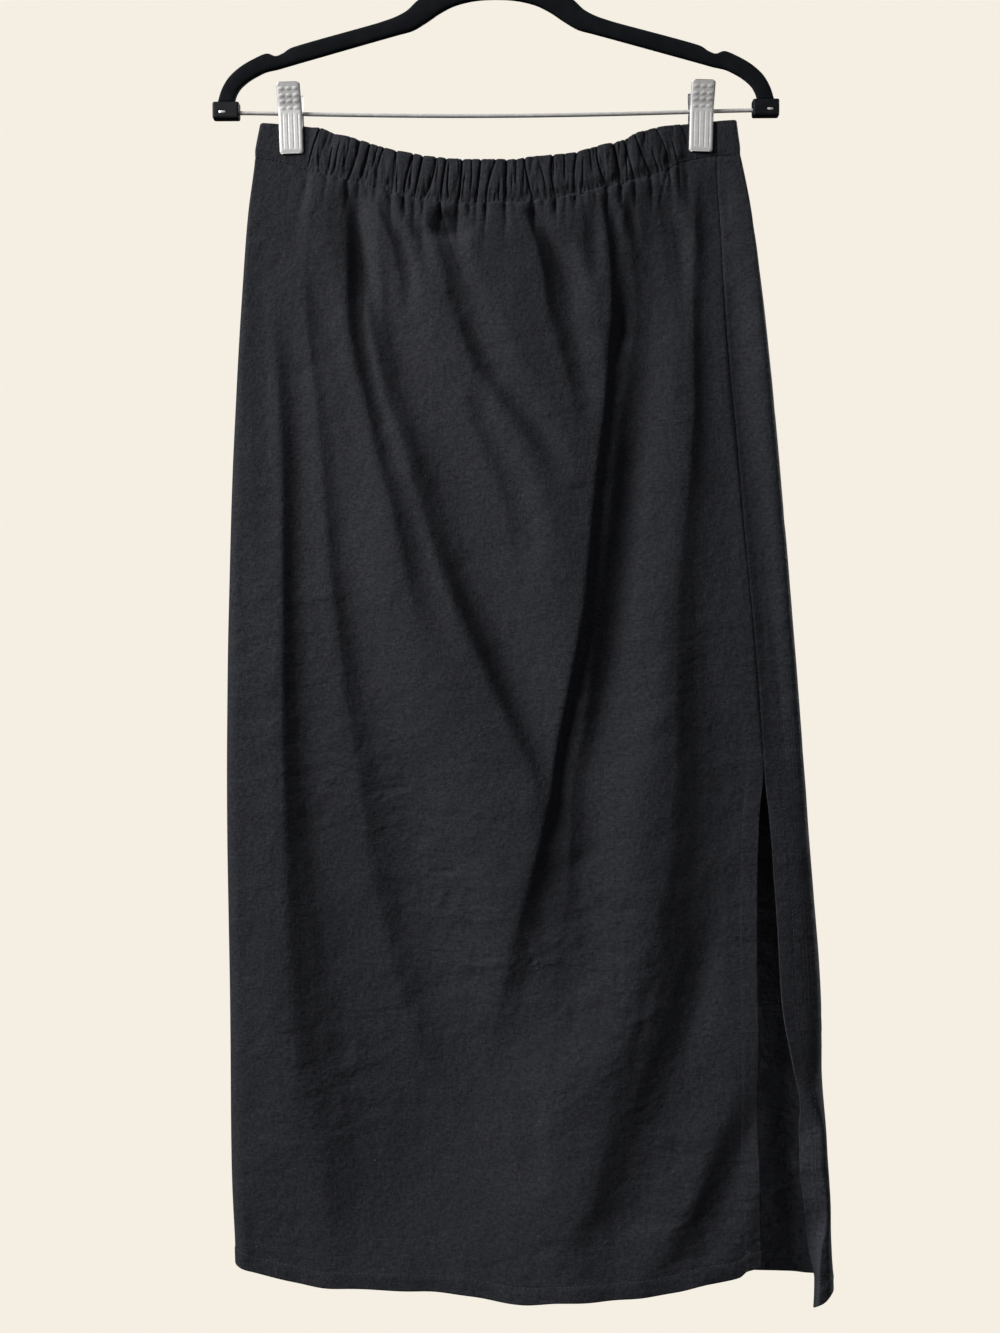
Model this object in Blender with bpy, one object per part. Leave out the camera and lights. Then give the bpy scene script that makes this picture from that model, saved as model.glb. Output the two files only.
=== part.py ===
"""A gathered maxi skirt with a side slit, hung by its elastic waistband from a hanger with two clips.

Sizes in the tables are millimetres. The origin is the inner crown of the hook, where a rail carries
the hanger: +X is the viewer's right, -Y the front and +Z up.

The cloth is one surface, given by its plan section at each level between the waistband and the hem.
The front panel runs from the left side seam, just behind the left fold, round to the right side seam,
which hangs in front of the right fold. The back panel is the rest of the round. Below the top of the
slit the two part, and the back panel's free edge is a flap.
"""

import math

import bmesh
import bpy
import numpy as np

MM = 0.001
GAP = 0.3

# Cloth
PANEL_WALL = 1.5
SIDE_SEAM_GAP = 0.5  # leaves GAP or a little less between the two panels' facets
BAND_WALL = 3.0  # two layers of cloth with the elastic between them
LEFT_SEAM_INSET = 15.0  # how far behind the left fold the left side seam runs
WAIST_Z = -260.0  # level 0
LEVEL_HEIGHT = 880.0  # level 1 is this far below level 0
BELLY_POWER = 1.6  # how softly the belly of a plan section ends
BAND_TOP_Z = -255.0  # middle heights of the band's top, of its seam and of the front hem
SEAM_Z = -280.0
FRONT_HEM_Z = -1137.0
RIDGE_HEIGHT = 3.8  # of the gathers, over their creases
CREASE_WIDTH = 2.6
GATHER_LIMIT = 150.0  # the clips hold the band flat beyond this
GATHER_LIMIT_Z = -268.0
GATHER_LIMIT_FADE = 0.03  # share of the panel over which the ridges end there
GATHER_FADE = 45.0  # how far below the waist seam the ridges die out
CREASE_FADE = 40.0  # how far below it a crease may still cut into the cloth

# Plan sections. left and right are the side folds, with their rounding; belly is how far the middle
# stands out from the folds, over the span given as a share of the half width; lean is how far the
# right side swings forward.
SECTION_COLUMNS = (
    "level", "left", "right", "round_left", "round_right", "front_belly", "back_belly", "span", "lean",
)
SECTIONS = (
    (-0.04, -182.0, 186.5, 1.65, 1.65, 8.5, 8.5, 0.79, 0.0),
    (0.00, -188.9, 191.3, 1.65, 1.65, 9.0, 9.0, 0.79, 0.0),
    (0.01, -190.0, 193.2, 1.70, 1.70, 9.2, 9.0, 0.79, 0.0),
    (0.05, -193.8, 199.8, 2.60, 3.00, 11.0, 8.5, 0.82, 0.0),
    (0.10, -196.0, 205.7, 4.00, 5.00, 13.5, 8.0, 0.88, 0.0),
    (0.20, -200.5, 213.7, 6.50, 8.00, 18.0, 8.0, 0.96, -1.0),
    (0.32, -205.7, 222.0, 8.50, 11.5, 22.0, 8.0, 1.00, -2.0),
    (0.46, -210.3, 231.5, 10.0, 15.0, 25.5, 8.0, 1.00, -4.0),
    (0.60, -212.3, 238.7, 11.0, 18.0, 28.0, 8.0, 1.00, -5.0),
    (0.75, -212.6, 246.5, 12.0, 21.0, 29.0, 8.0, 1.00, -6.5),
    (0.90, -211.8, 251.3, 12.0, 24.0, 29.0, 8.0, 1.00, -8.0),
    (1.00, -208.3, 252.5, 11.0, 25.0, 28.0, 8.0, 1.00, -8.0),
)

# The right side seam, and below the slit's top the two edges of the slit.
SLIT_COLUMNS = ("level", "front_edge", "back_edge")
SLIT_TOP = 0.5425
SLIT = (
    (-0.04, 173.0, 173.0),
    (0.00, 173.1, 173.1),
    (0.07, 176.4, 176.4),
    (0.17, 181.0, 181.0),
    (0.25, 186.4, 186.4),
    (0.33, 190.9, 190.9),
    (0.42, 196.9, 196.9),
    (0.49, 200.9, 200.9),
    (SLIT_TOP, 202.7, 202.7),
    (0.59, 198.7, 206.3),
    (0.67, 196.2, 210.2),
    (0.75, 195.2, 213.4),
    (0.82, 194.7, 223.6),
    (0.89, 194.4, 227.3),
    (0.95, 194.7, 231.1),
    (1.00, 195.4, 232.0),
)

# The waistband's top edge and the seam under it.
WAIST_COLUMNS = ("x", "top", "seam")
WAIST = (
    (-190.0, -235.0, -261.5),
    (-172.0, -236.5, -264.0),
    (-149.0, -239.5, -271.5),
    (-118.0, -249.5, -279.5),
    (-96.0, -256.3, -286.8),
    (-76.0, -261.3, -293.2),
    (-50.0, -267.0, -300.0),
    (-20.0, -269.2, -302.2),
    (14.0, -269.4, -302.1),
    (40.0, -266.8, -299.3),
    (62.0, -263.0, -294.8),
    (84.0, -258.3, -288.6),
    (112.0, -250.3, -281.0),
    (131.0, -243.2, -273.1),
    (148.0, -238.9, -265.8),
    (172.0, -235.8, -261.6),
    (191.0, -234.5, -260.9),
)

# The lower edges. The front's is given across the skirt, the back's along the panel.
FRONT_HEM_COLUMNS = ("x", "z")
FRONT_HEM = (
    (-209.0, -1126.5),
    (-197.0, -1129.7),
    (-180.0, -1133.0),
    (-134.0, -1137.5),
    (-94.0, -1136.5),
    (-44.0, -1137.0),
    (13.0, -1142.5),
    (41.0, -1140.8),
    (103.0, -1136.0),
    (150.0, -1133.0),
    (178.0, -1128.0),
    (195.0, -1122.5),
)
BACK_HEM_COLUMNS = ("share", "z")
BACK_HEM = (
    (0.00, -1127.5),
    (0.04, -1133.0),
    (0.12, -1141.0),
    (0.30, -1146.0),
    (0.88, -1146.5),
    (0.94, -1142.5),
    (0.97, -1144.0),
    (1.00, -1151.0),
)

# Creases of the gathers across the front, at the band's top and at its seam, and how far each runs
# down the panel.
GATHER_COLUMNS = ("top_x", "seam_x", "depth", "reach")
FRONT_GATHERS = (
    (-138.0, -148.0, 3.2, 14.0),
    (-126.0, -132.0, 2.2, 34.0),
    (-114.0, -123.5, 1.4, 10.0),
    (-106.0, -115.5, 3.8, 70.0),
    (-98.5, -107.0, 3.6, 12.0),
    (-92.0, -100.0, 2.4, 10.0),
    (-87.0, -93.5, 2.4, 24.0),
    (-77.5, -81.5, 2.8, 60.0),
    (-64.5, -71.5, 3.8, 22.0),
    (-57.0, -63.5, 3.0, 16.0),
    (-46.5, -56.5, 3.8, 30.0),
    (-38.5, -43.0, 3.6, 34.0),
    (-26.0, -29.5, 3.8, 44.0),
    (-19.0, -21.0, 1.8, 12.0),
    (-12.0, -15.5, 3.0, 18.0),
    (-0.5, -8.0, 2.8, 12.0),
    (8.0, 7.0, 3.4, 20.0),
    (15.5, 14.5, 1.6, 10.0),
    (22.0, 29.0, 3.8, 60.0),
    (31.0, 37.0, 1.6, 12.0),
    (43.5, 46.0, 3.8, 16.0),
    (53.0, 53.5, 2.0, 26.0),
    (62.5, 61.0, 3.6, 12.0),
    (72.5, 77.0, 1.6, 10.0),
    (78.0, 86.0, 3.8, 70.0),
    (91.0, 96.5, 3.4, 18.0),
    (100.0, 107.5, 3.0, 90.0),
    (108.0, 120.5, 3.8, 30.0),
    (117.0, 127.0, 1.8, 12.0),
    (125.0, 135.5, 3.4, 60.0),
    (135.5, 142.5, 2.4, 20.0),
    (145.0, 149.5, 2.0, 30.0),
)
BACK_GATHER_COUNT = 34
BACK_GATHER_LIMIT = 147.0
BACK_LEAN = 6.0  # how far the outer gathers of the back spread from the band's top to its seam

# Folds that the hanging weight draws in the cloth. Each runs from top_z to low_z, past x at the top, at
# one and two thirds of the way and at its end, as a trough (or, with a depth below 0, a swell) with its
# own width on each side of the run. The widths grow by the share widening on the way down.
FOLD_COLUMNS = (
    "top_z", "low_z", "top_x", "upper_x", "lower_x", "low_x", "depth", "left_width", "right_width",
    "widening",
)
FRONT_FOLDS = (
    (-262.0, -790.0, -112.0, -86.0, -24.0, 45.0, 13.0, 12.0, 30.0, 0.1),
    (-272.0, -910.0, 122.0, 93.0, 61.0, 15.0, 18.0, 16.0, 32.0, 0.0),
    (-290.0, -1090.0, -148.0, -122.0, -80.0, 12.0, 5.5, 12.0, 24.0, 0.4),
    (-290.0, -1105.0, -174.0, -158.0, -145.0, -110.0, 9.0, 9.0, 22.0, 0.9),
    (-262.0, -1115.0, 170.0, 155.0, 138.0, 37.0, 9.0, 10.0, 24.0, 0.9),
    (-320.0, -700.0, 176.0, 187.0, 193.0, 199.0, 2.5, 8.0, 12.0, 0.3),
    (-310.0, -515.0, -36.0, -22.0, 4.0, 48.0, 4.0, 8.0, 13.0, 0.6),
    (-310.0, -475.0, 37.0, 48.0, 60.0, 66.0, 3.0, 6.0, 10.0, 0.5),
    (-980.0, -1125.0, 190.0, 169.0, 146.0, 104.0, 4.5, 13.0, 17.0, 0.3),
    (-330.0, -775.0, 0.0, 5.0, 22.0, 42.0, -8.0, 45.0, 40.0, 0.0),
)
BACK_FOLDS = (
    (-270.0, -970.0, -128.0, -112.0, -88.0, -58.0, 9.0, 14.0, 26.0, 0.4),
    (-290.0, -760.0, -40.0, -26.0, -18.0, -14.0, 6.0, 20.0, 12.0, 0.3),
    (-280.0, -1080.0, 62.0, 56.0, 44.0, 18.0, 9.0, 26.0, 13.0, 0.4),
    (-290.0, -1090.0, 152.0, 149.0, 140.0, 118.0, 8.0, 12.0, 24.0, 0.6),
    (-300.0, -860.0, -164.0, -160.0, -152.0, -146.0, 4.0, 14.0, 9.0, 0.4),
)

FOLD_STARTS_BY = 0.2  # shares of a fold's run where it is full and where it begins to die out
FOLD_ENDS_FROM = 0.75

# Mesh of the cloth
ROWS_IN_GATHERS = (0.0, 7.0, 18.0, 36.0)  # below the waist seam
BODY_START = 56.0  # below the waist seam: the first row with fewer columns
FRONT_ROWS = 22
BACK_ROWS = 15
FRONT_MERGE = 2  # columns of the gathers for each column below them
BACK_MERGE = 3
BAND_ROWS = (1.0, 0.82, 0.18, 0.0)  # top to seam
RIDGE_COLUMNS = (0.0, 1 / 3, 2 / 3)  # from one crease to the next
SIDE_COLUMNS = (-1.0, -0.5, 0.0, 0.5, 1.0)  # round a side fold, in quarter turns
BESIDE_FOLD = (8.0, 18.0, 28.0)  # columns on the flat between a side fold and the gathers
FRONT_EDGE_COLUMN = 0.97  # share of the one column between the gathers and the panel's other edge
BACK_EDGE_COLUMN = 0.04
TURN_COST = 22.0  # millimetres of flat cloth that take as many columns as one radian of a fold
NORMAL_STEP = 0.0016  # share along a panel between the points that give its direction

# Hanger
BAR_RADIUS = 1.5
BAR_HALF = 217.5
BAR_Z = -225.3
BAR_SAG = 3.2
BAR_SAG_HALF = 198.0
CAP_INNER = 201.3
CAP_OUTER = 222.4
CAP_TOP = -217.1
CAP_HEIGHT = 13.5
CAP_DEPTH = 7.4
CAP_BEVEL = 1.6
CAP_WINDOW = (6.5, 2.5)  # width and height, open to the front
CAP_WINDOW_X = 215.3
HOOK_WIRE = 1.75  # radius
HOOK_INNER = 21.0  # radius inside the crook
HOOK_SOCKET = 9.0  # how deep the neck goes into the hump
HOOK_JOIN_ANGLE = -38.0  # degrees round the crook from +X, where the neck joins it
HOOK_TIP_ANGLE = 196.0
HOOK_NECK_TOP = -64.0
HOOK_SWING = 0.9  # how far the neck's curve holds its direction, as a share of its length
HUMP_TOP = -121.0
ARM_CHAMFER = 0.12  # share of the arm's height
ARM_EDGE = 0.24  # half depth at the arm's edges, as a share of the whole depth
BAR_SAG_POWER = 1.3

# Half of the hanger's arms from the middle outwards: the two edges, and the depth front to back.
ARM_COLUMNS = ("upper_x", "upper_z", "lower_x", "lower_z", "depth")
ARM = (
    (0.0, HUMP_TOP, 0.0, -136.6, 8.0),
    (9.0, HUMP_TOP - 0.2, 8.0, -136.9, 8.0),
    (20.0, -122.0, 17.0, -138.0, 6.4),
    (38.0, -125.5, 31.0, -141.5, 5.6),
    (52.0, -131.5, 43.0, -147.4, 5.6),
    (61.6, -138.2, 54.6, -155.2, 5.6),
    (70.0, -146.0, 65.7, -161.4, 5.6),
    (79.0, -150.8, 76.0, -164.2, 5.6),
    (91.0, -155.0, 88.0, -167.5, 5.6),
    (161.6, -175.0, 158.0, -187.2, 5.6),
    (167.5, -179.0, 165.0, -189.2, 5.6),
    (173.0, -180.9, 171.0, -190.9, 5.6),
    (179.5, -178.9, 180.0, -193.0, 5.6),
    (192.0, -184.0, 187.0, -196.2, 5.6),
    (203.0, -191.0, 194.5, -200.8, 5.6),
    (211.0, -199.1, 201.1, -207.0, 5.6),
    (216.0, -208.5, 204.0, -212.5, 5.6),
    (218.5, CAP_TOP + GAP, 205.2, CAP_TOP + GAP, 5.6),
)

# Clips. The jaws' profile is their middle line, from the handle down to the grip.
CLIP_X = 161.0
CLIP_TILT = 1.6  # degrees, feet inwards
CLIP_WIDTH = 18.6
JAW_WALL = 1.0
JAW_COLUMNS = ("z", "y")
JAW = (
    (-205.5, 12.5),
    (-215.5, 9.2),
    (-226.0, 5.5),
    (-233.0, 5.1),
    (-247.0, 5.0),
    (-255.5, 4.7),
    (-259.0, 4.05),
)
SPRING_OUTER = 4.6  # radius
SPRING_BORE = 1.9
SPRING_LENGTH = 12.0
BAR_AT_CLIP = -226.2

CLOTH_COLOUR = (0.012, 0.013, 0.015)
CLOTH_ROUGHNESS = 0.95
FLOCK_COLOUR = (0.006, 0.007, 0.009)
FLOCK_ROUGHNESS = 1.0
CLIP_COLOUR = (0.60, 0.61, 0.63)
CLIP_ROUGHNESS = 0.35
WIRE_COLOUR = (0.55, 0.55, 0.56)
WIRE_ROUGHNESS = 0.3
SHARP_ANGLE = 50.0  # degrees


# ---------------------------------------------------------------- tables

def columns(names, rows):
    """The columns of a table, by name."""
    return dict(zip(names, np.array(rows, float).T))


def smooth(x, knots, values):
    """A curve through a table's rows with no overshoot, level beyond its ends."""
    x = np.clip(x, knots[0], knots[-1])
    step = np.diff(knots)
    slope = np.diff(values) / step
    tangent = np.zeros(len(knots))
    same_way = slope[:-1] * slope[1:] > 0
    total = np.where(same_way, slope[:-1] + slope[1:], 1.0)
    tangent[1:-1] = np.where(same_way, 2 * slope[:-1] * slope[1:] / total, 0.0)
    tangent[0] = slope[0]
    tangent[-1] = slope[-1]
    i = np.clip(np.searchsorted(knots, x, side="right") - 1, 0, len(knots) - 2)
    f = (x - knots[i]) / step[i]
    return (
        values[i] * (1 + 2 * f) * (1 - f) ** 2
        + values[i + 1] * (3 - 2 * f) * f**2
        + step[i] * tangent[i] * f * (1 - f) ** 2
        - step[i] * tangent[i + 1] * f**2 * (1 - f)
    )


def ease(x, start, end):
    """0 before start, 1 after end and a soft rise between them."""
    f = np.clip((x - start) / (end - start), 0.0, 1.0)
    return f * f * (3 - 2 * f)


SECTION = columns(SECTION_COLUMNS, SECTIONS)
SLIT_EDGE = columns(SLIT_COLUMNS, SLIT)
WAIST_EDGE = columns(WAIST_COLUMNS, WAIST)
HEM_F = columns(FRONT_HEM_COLUMNS, FRONT_HEM)
HEM_B = columns(BACK_HEM_COLUMNS, BACK_HEM)


# ---------------------------------------------------------------- the cloth's surface

def level_of(z):
    return (WAIST_Z - z) / LEVEL_HEIGHT


def section_at(level):
    """The row of SECTIONS at any level, by column name."""
    return {
        name: float(smooth(np.array([level]), SECTION["level"], SECTION[name])[0])
        for name in SECTION_COLUMNS[1:]
    }


def half_section(row, side):
    """Points across one face of the skirt, left fold to right. side is -1 for the front, 1 for the back."""
    left, right = row["left"], row["right"]
    turn = np.linspace(0, math.pi / 2, 13)
    left_x = left + row["round_left"] * (1 - np.cos(turn))
    right_x = right - row["round_right"] * (1 - np.cos(turn[::-1]))
    flat_x = np.linspace(left_x[-1], right_x[0], 160)[1:-1]
    x = np.concatenate([left_x, flat_x, right_x])
    middle = (left + right) / 2
    q = (x - middle) / ((right - left) / 2)
    mix = ease(q, -0.8, 0.8)
    stand = row["round_left"] * (1 - mix) + row["round_right"] * mix
    stand[: len(turn)] = row["round_left"] * np.sin(turn)
    stand[-len(turn):] = row["round_right"] * np.sin(turn[::-1])
    belly = row["front_belly"] if side < 0 else row["back_belly"]
    bulge = np.clip(1 - (q / row["span"]) ** 2, 0, 1) ** BELLY_POWER
    y = side * (stand + belly * bulge) + row["lean"] * ease(q, -0.2, 1.0)
    return np.stack([x, y], 1)


def cut_from(points, x):
    """The part of a left-to-right line that lies right of x."""
    y = np.interp(x, points[:, 0], points[:, 1])
    return np.vstack([[x, y], points[points[:, 0] > x + 1e-6]])


def cut_to(points, x):
    """The part of a left-to-right line that lies left of x."""
    y = np.interp(x, points[:, 0], points[:, 1])
    return np.vstack([points[points[:, 0] < x - 1e-6], [x, y]])


def front_path(level):
    """The front panel's line in plan: from the left seam, round the left fold, to the right seam."""
    row = section_at(level)
    edge = float(smooth(np.array([level]), SLIT_EDGE["level"], SLIT_EDGE["front_edge"])[0])
    behind = cut_to(half_section(row, 1), row["left"] + LEFT_SEAM_INSET - SIDE_SEAM_GAP / 2)
    before = cut_to(half_section(row, -1), edge - SIDE_SEAM_GAP / 2)
    return np.vstack([behind[::-1], before[1:]])


def back_path(level):
    """The back panel's line in plan: from the left seam, across the back, round the right fold."""
    row = section_at(level)
    edge = float(smooth(np.array([level]), SLIT_EDGE["level"], SLIT_EDGE["back_edge"])[0])
    behind = cut_from(half_section(row, 1), row["left"] + LEFT_SEAM_INSET + SIDE_SEAM_GAP / 2)
    before = cut_from(half_section(row, -1), edge + SIDE_SEAM_GAP / 2)
    return np.vstack([behind, before[::-1][1:]])


class Cloth:
    """One panel's surface: a point for each share of the way along it and each height."""

    LEVELS = np.linspace(SECTIONS[0][0], SECTIONS[-1][0] + 0.02, 180)
    SHARES = np.linspace(0, 1, 1601)

    def __init__(self, path, outward):
        self.outward = outward
        self.plan = np.empty((len(self.LEVELS), len(self.SHARES), 2))
        for i, level in enumerate(self.LEVELS):
            line = path(level)
            run = np.concatenate([[0], np.cumsum(np.linalg.norm(np.diff(line, axis=0), axis=1))])
            for axis in (0, 1):
                self.plan[i, :, axis] = np.interp(self.SHARES * run[-1], run, line[:, axis])

    def at(self, share, z):
        """Plan position (..., 2) at these shares and heights."""
        level = np.clip(level_of(z), self.LEVELS[0], self.LEVELS[-1])
        i = (level - self.LEVELS[0]) / (self.LEVELS[1] - self.LEVELS[0])
        j = np.clip(share, 0, 1) * (len(self.SHARES) - 1)
        i0 = np.clip(i.astype(int), 0, len(self.LEVELS) - 2)
        j0 = np.clip(j.astype(int), 0, len(self.SHARES) - 2)
        fi = (i - i0)[..., None]
        fj = (j - j0)[..., None]
        upper = self.plan[i0, j0] * (1 - fj) + self.plan[i0, j0 + 1] * fj
        lower = self.plan[i0 + 1, j0] * (1 - fj) + self.plan[i0 + 1, j0 + 1] * fj
        return upper * (1 - fi) + lower * fi

    def normal(self, share, z):
        """Outward direction in plan."""
        ahead = self.at(np.minimum(share + NORMAL_STEP, 1), z)
        behind = self.at(np.maximum(share - NORMAL_STEP, 0), z)
        along = ahead - behind
        along /= np.linalg.norm(along, axis=-1, keepdims=True)
        return self.outward * np.stack([-along[..., 1], along[..., 0]], -1)

    def waist_run(self):
        """The panel's line at level 0, and the distance along it to each of its points."""
        line = self.plan[int(np.argmin(np.abs(self.LEVELS)))]
        steps = np.linalg.norm(np.diff(line, axis=0), axis=1)
        return line, np.concatenate([[0], np.cumsum(steps)])

    def spread(self, count):
        """Shares for a row of columns that stand closer together where the section turns."""
        line = self.plan[len(self.LEVELS) // 2]
        along = np.diff(line, axis=0)
        step = np.linalg.norm(along, axis=1)
        angle = np.unwrap(np.arctan2(along[:, 1], along[:, 0]))
        turn = np.abs(np.diff(angle, append=angle[-1]))
        cost = np.concatenate([[0], np.cumsum(step + TURN_COST * turn)])
        return np.interp(np.linspace(0, cost[-1], count), cost, self.SHARES)

    def share_at(self, x, z):
        """The share at which the panel passes x at height z, on its way from left to right."""
        level = int(round((level_of(z) - self.LEVELS[0]) / (self.LEVELS[1] - self.LEVELS[0])))
        line = self.plan[max(level, 0)]
        across = np.gradient(line[:, 0]) > 0
        return float(np.interp(x, line[across, 0], self.SHARES[across]))


def run_of(fold, z):
    """x along a fold at height z, by a cubic through its four places, and the share of its run there."""
    share = (fold["top_z"] - z) / (fold["top_z"] - fold["low_z"])
    a, b, c, d = (share * 3 - k for k in range(4))
    x = (
        -fold["top_x"] * b * c * d / 6
        + fold["upper_x"] * a * c * d / 2
        - fold["lower_x"] * a * b * d / 2
        + fold["low_x"] * a * b * c / 6
    )
    return x, share


def folds_at(x, z, rows):
    """How far the folds move the cloth outwards."""
    lift = np.zeros_like(x)
    for row in rows:
        fold = dict(zip(FOLD_COLUMNS, row))
        middle, share = run_of(fold, np.clip(z, fold["low_z"], fold["top_z"]))
        fade = ease(share, 0.0, FOLD_STARTS_BY) * (1 - ease(share, FOLD_ENDS_FROM, 1.0))
        off = x - middle
        width = np.where(off < 0, fold["left_width"], fold["right_width"])
        width = width * (1 + fold["widening"] * share)
        lift -= fold["depth"] * fade * np.exp(-((off / width) ** 2))
    return lift


def gathers_at(share, below, creases, limits):
    """Height of the gathers. below is the distance under the waist seam, 0 on the band."""
    first, last = limits
    window = ease(share, first, first + GATHER_LIMIT_FADE)
    window = window * (1 - ease(share, last - GATHER_LIMIT_FADE, last))
    height = RIDGE_HEIGHT * window * np.exp(-((below / GATHER_FADE) ** 2))
    for place, depth, reach, width in creases:
        height = height - depth * np.exp(-np.abs(share - place) / width - (below / reach) ** 2)
    return np.maximum(height, -RIDGE_HEIGHT * ease(below, 0.0, CREASE_FADE))


# ---------------------------------------------------------------- closed walls

def surface_normals(points):
    """Unit normals of a grid of points, rows down and columns along."""
    along = np.gradient(points, axis=1)
    down = np.gradient(points, axis=0)
    normal = np.cross(along, down)
    return normal / np.linalg.norm(normal, axis=-1, keepdims=True)


def add_rows(bm, points):
    return [[bm.verts.new(p * MM) for p in row] for row in points]


def join_rows(bm, upper, lower, merge=1):
    """Faces between two rows of vertices, where the upper one has merge columns for each lower one."""
    for j in range(len(lower) - 1):
        fan = upper[j * merge:(j + 1) * merge + 1]
        if len(fan) == 2:
            bm.faces.new((fan[0], lower[j], lower[j + 1], fan[1]))
            continue
        half = len(fan) // 2
        for a, b in zip(fan[:half], fan[1:half + 1]):
            bm.faces.new((a, lower[j], b))
        bm.faces.new((fan[half], lower[j], lower[j + 1]))
        for a, b in zip(fan[half:-1], fan[half + 1:]):
            bm.faces.new((a, lower[j + 1], b))


def wall_from(name, fine, coarse, merge, wall):
    """A closed wall round a grid of fine columns and the grid of fewer, wider ones that goes on below."""
    bm = bmesh.new()
    sides = []
    for half in (wall / 2, -wall / 2):
        rows = add_rows(bm, fine + surface_normals(fine) * half)
        merges = [1] * (len(rows) - 1)
        if coarse is not None:
            rows += add_rows(bm, coarse + surface_normals(coarse) * half)
            merges += [merge] + [1] * (len(coarse) - 1)
        for upper, lower, step in zip(rows, rows[1:], merges):
            join_rows(bm, upper, lower, step)
        sides.append(rows)
    outer, inner = sides
    for a, b in ((outer[0], inner[0]), (outer[-1], inner[-1])):
        for j in range(len(a) - 1):
            bm.faces.new((a[j], a[j + 1], b[j + 1], b[j]))
    for end in (0, -1):
        for i in range(len(outer) - 1):
            bm.faces.new((outer[i][end], outer[i + 1][end], inner[i + 1][end], inner[i][end]))
    bmesh.ops.recalc_face_normals(bm, faces=bm.faces)
    return object_from(name, bm, CLOTH_COLOUR, CLOTH_ROUGHNESS, 0.0)


# ---------------------------------------------------------------- gathers' columns

def back_gathers():
    """Creases of the back, unevenly spaced like the front's: rows as in FRONT_GATHERS."""
    rows = []
    for i in range(BACK_GATHER_COUNT):
        across = 2 * (i + 0.5) / BACK_GATHER_COUNT - 1
        uneven = 2.4 * math.sin(2.1 * i) + 1.5 * math.sin(5.3 * i + 1.0)
        seam_x = across * BACK_GATHER_LIMIT + uneven
        top_x = seam_x - BACK_LEAN * across
        depth = 2.9 + 0.9 * math.sin(3.7 * i + 0.4)
        reach = 30.0 + 22.0 * math.sin(2.9 * i + 2.0)
        rows.append((top_x, seam_x, depth, reach))
    return rows


def seam_height(x):
    return smooth(x, WAIST_EDGE["x"], WAIST_EDGE["seam"])


def top_height(x):
    return smooth(x, WAIST_EDGE["x"], WAIST_EDGE["top"])


def crease_shares(cloth, rows):
    """For each crease: its share at the band's top, its share at the seam, its depth and its reach."""
    found = []
    for top_x, seam_x, depth, reach in rows:
        at_top = cloth.share_at(top_x, float(top_height(top_x)))
        at_seam = cloth.share_at(seam_x, float(seam_height(seam_x)))
        found.append((at_top, at_seam, depth, reach))
    return found


def gather_columns(creases, low, high):
    """Column shares at the band's top and at the seam: low, the creases with their ridges, and high."""
    shares = []
    for place in (0, 1):
        row = [0.0, *low]
        for here, following in zip(creases, creases[1:]):
            row += [here[place] * (1 - f) + following[place] * f for f in RIDGE_COLUMNS]
        row += [creases[-1][place], *high, 1.0]
        shares.append(np.array(row))
    return shares


def side_fold_shares(cloth, side_x, inwards):
    """Shares round the side fold at the waist and beside it. inwards is 1 where the gathers come after."""
    line, run = cloth.waist_run()
    tip = run[int(np.argmin(np.abs(line[:, 0] - side_x)))]
    quarter = section_at(0.0)["round_left"] * math.pi / 2
    places = [tip + turn * quarter for turn in SIDE_COLUMNS]
    places += [tip + inwards * (quarter + beside) for beside in BESIDE_FOLD]
    return sorted(float(place / run[-1]) for place in places)


# ---------------------------------------------------------------- panels and bands

def lifted(cloth, share, z, below, creases, limits):
    """Points of the cloth's middle surface with its folds and gathers."""
    plan = cloth.at(share, z)
    normal = cloth.normal(share, z)
    facing = normal[..., 1]
    lift = np.where(
        facing < 0,
        folds_at(plan[..., 0], z, FRONT_FOLDS),
        folds_at(plan[..., 0], z, BACK_FOLDS),
    )
    lift = lift * np.abs(facing) ** 2 + gathers_at(share, below, creases, limits)
    plan = plan + normal * lift[..., None]
    return np.concatenate([plan, z[..., None]], -1)


def creases_at(cloth, creases, rise):
    """Place, depth, reach and width of the creases at a height in the band: 0 its seam, 1 its top."""
    width = CREASE_WIDTH / cloth.waist_run()[1][-1]
    return [
        (at_seam + (at_top - at_seam) * rise, depth, reach, width)
        for at_top, at_seam, depth, reach in creases
    ]


def gather_limits(cloth):
    """Shares between which the waist is gathered."""
    return cloth.share_at(-GATHER_LIMIT, GATHER_LIMIT_Z), cloth.share_at(GATHER_LIMIT, GATHER_LIMIT_Z)


def x_along(cloth, shares, z):
    return cloth.at(shares, np.full(len(shares), z))[:, 0]


def panel(name, cloth, seam_shares, creases, hem_of, rows, merge):
    """A panel from the waist seam to its hem, with fine columns in the gathers and wider ones below."""
    limits = gather_limits(cloth)
    at_seam = creases_at(cloth, creases, 0.0)
    seam_z = seam_height(x_along(cloth, seam_shares, SEAM_Z)) - GAP

    down = np.repeat(np.array(ROWS_IN_GATHERS)[:, None], len(seam_shares), 1)
    share = np.repeat(seam_shares[None, :], len(down), 0)
    gathered = lifted(cloth, share, seam_z - down, down, at_seam, limits)

    kept = np.append(np.arange(0, len(seam_shares) - 1, merge), len(seam_shares) - 1)
    even = cloth.spread(len(kept))
    seam_z = seam_z[kept]
    part = np.linspace(0, 1, rows)[:, None]
    top_z = seam_z - BODY_START
    z = top_z + (hem_of(cloth, even) - top_z) * part
    spread = ease(part, 0.0, 0.5)
    share = seam_shares[kept] * (1 - spread) + even * spread
    body = lifted(cloth, share, z, seam_z - z, at_seam, limits)
    return wall_from(name, gathered, body, merge, PANEL_WALL)


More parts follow.
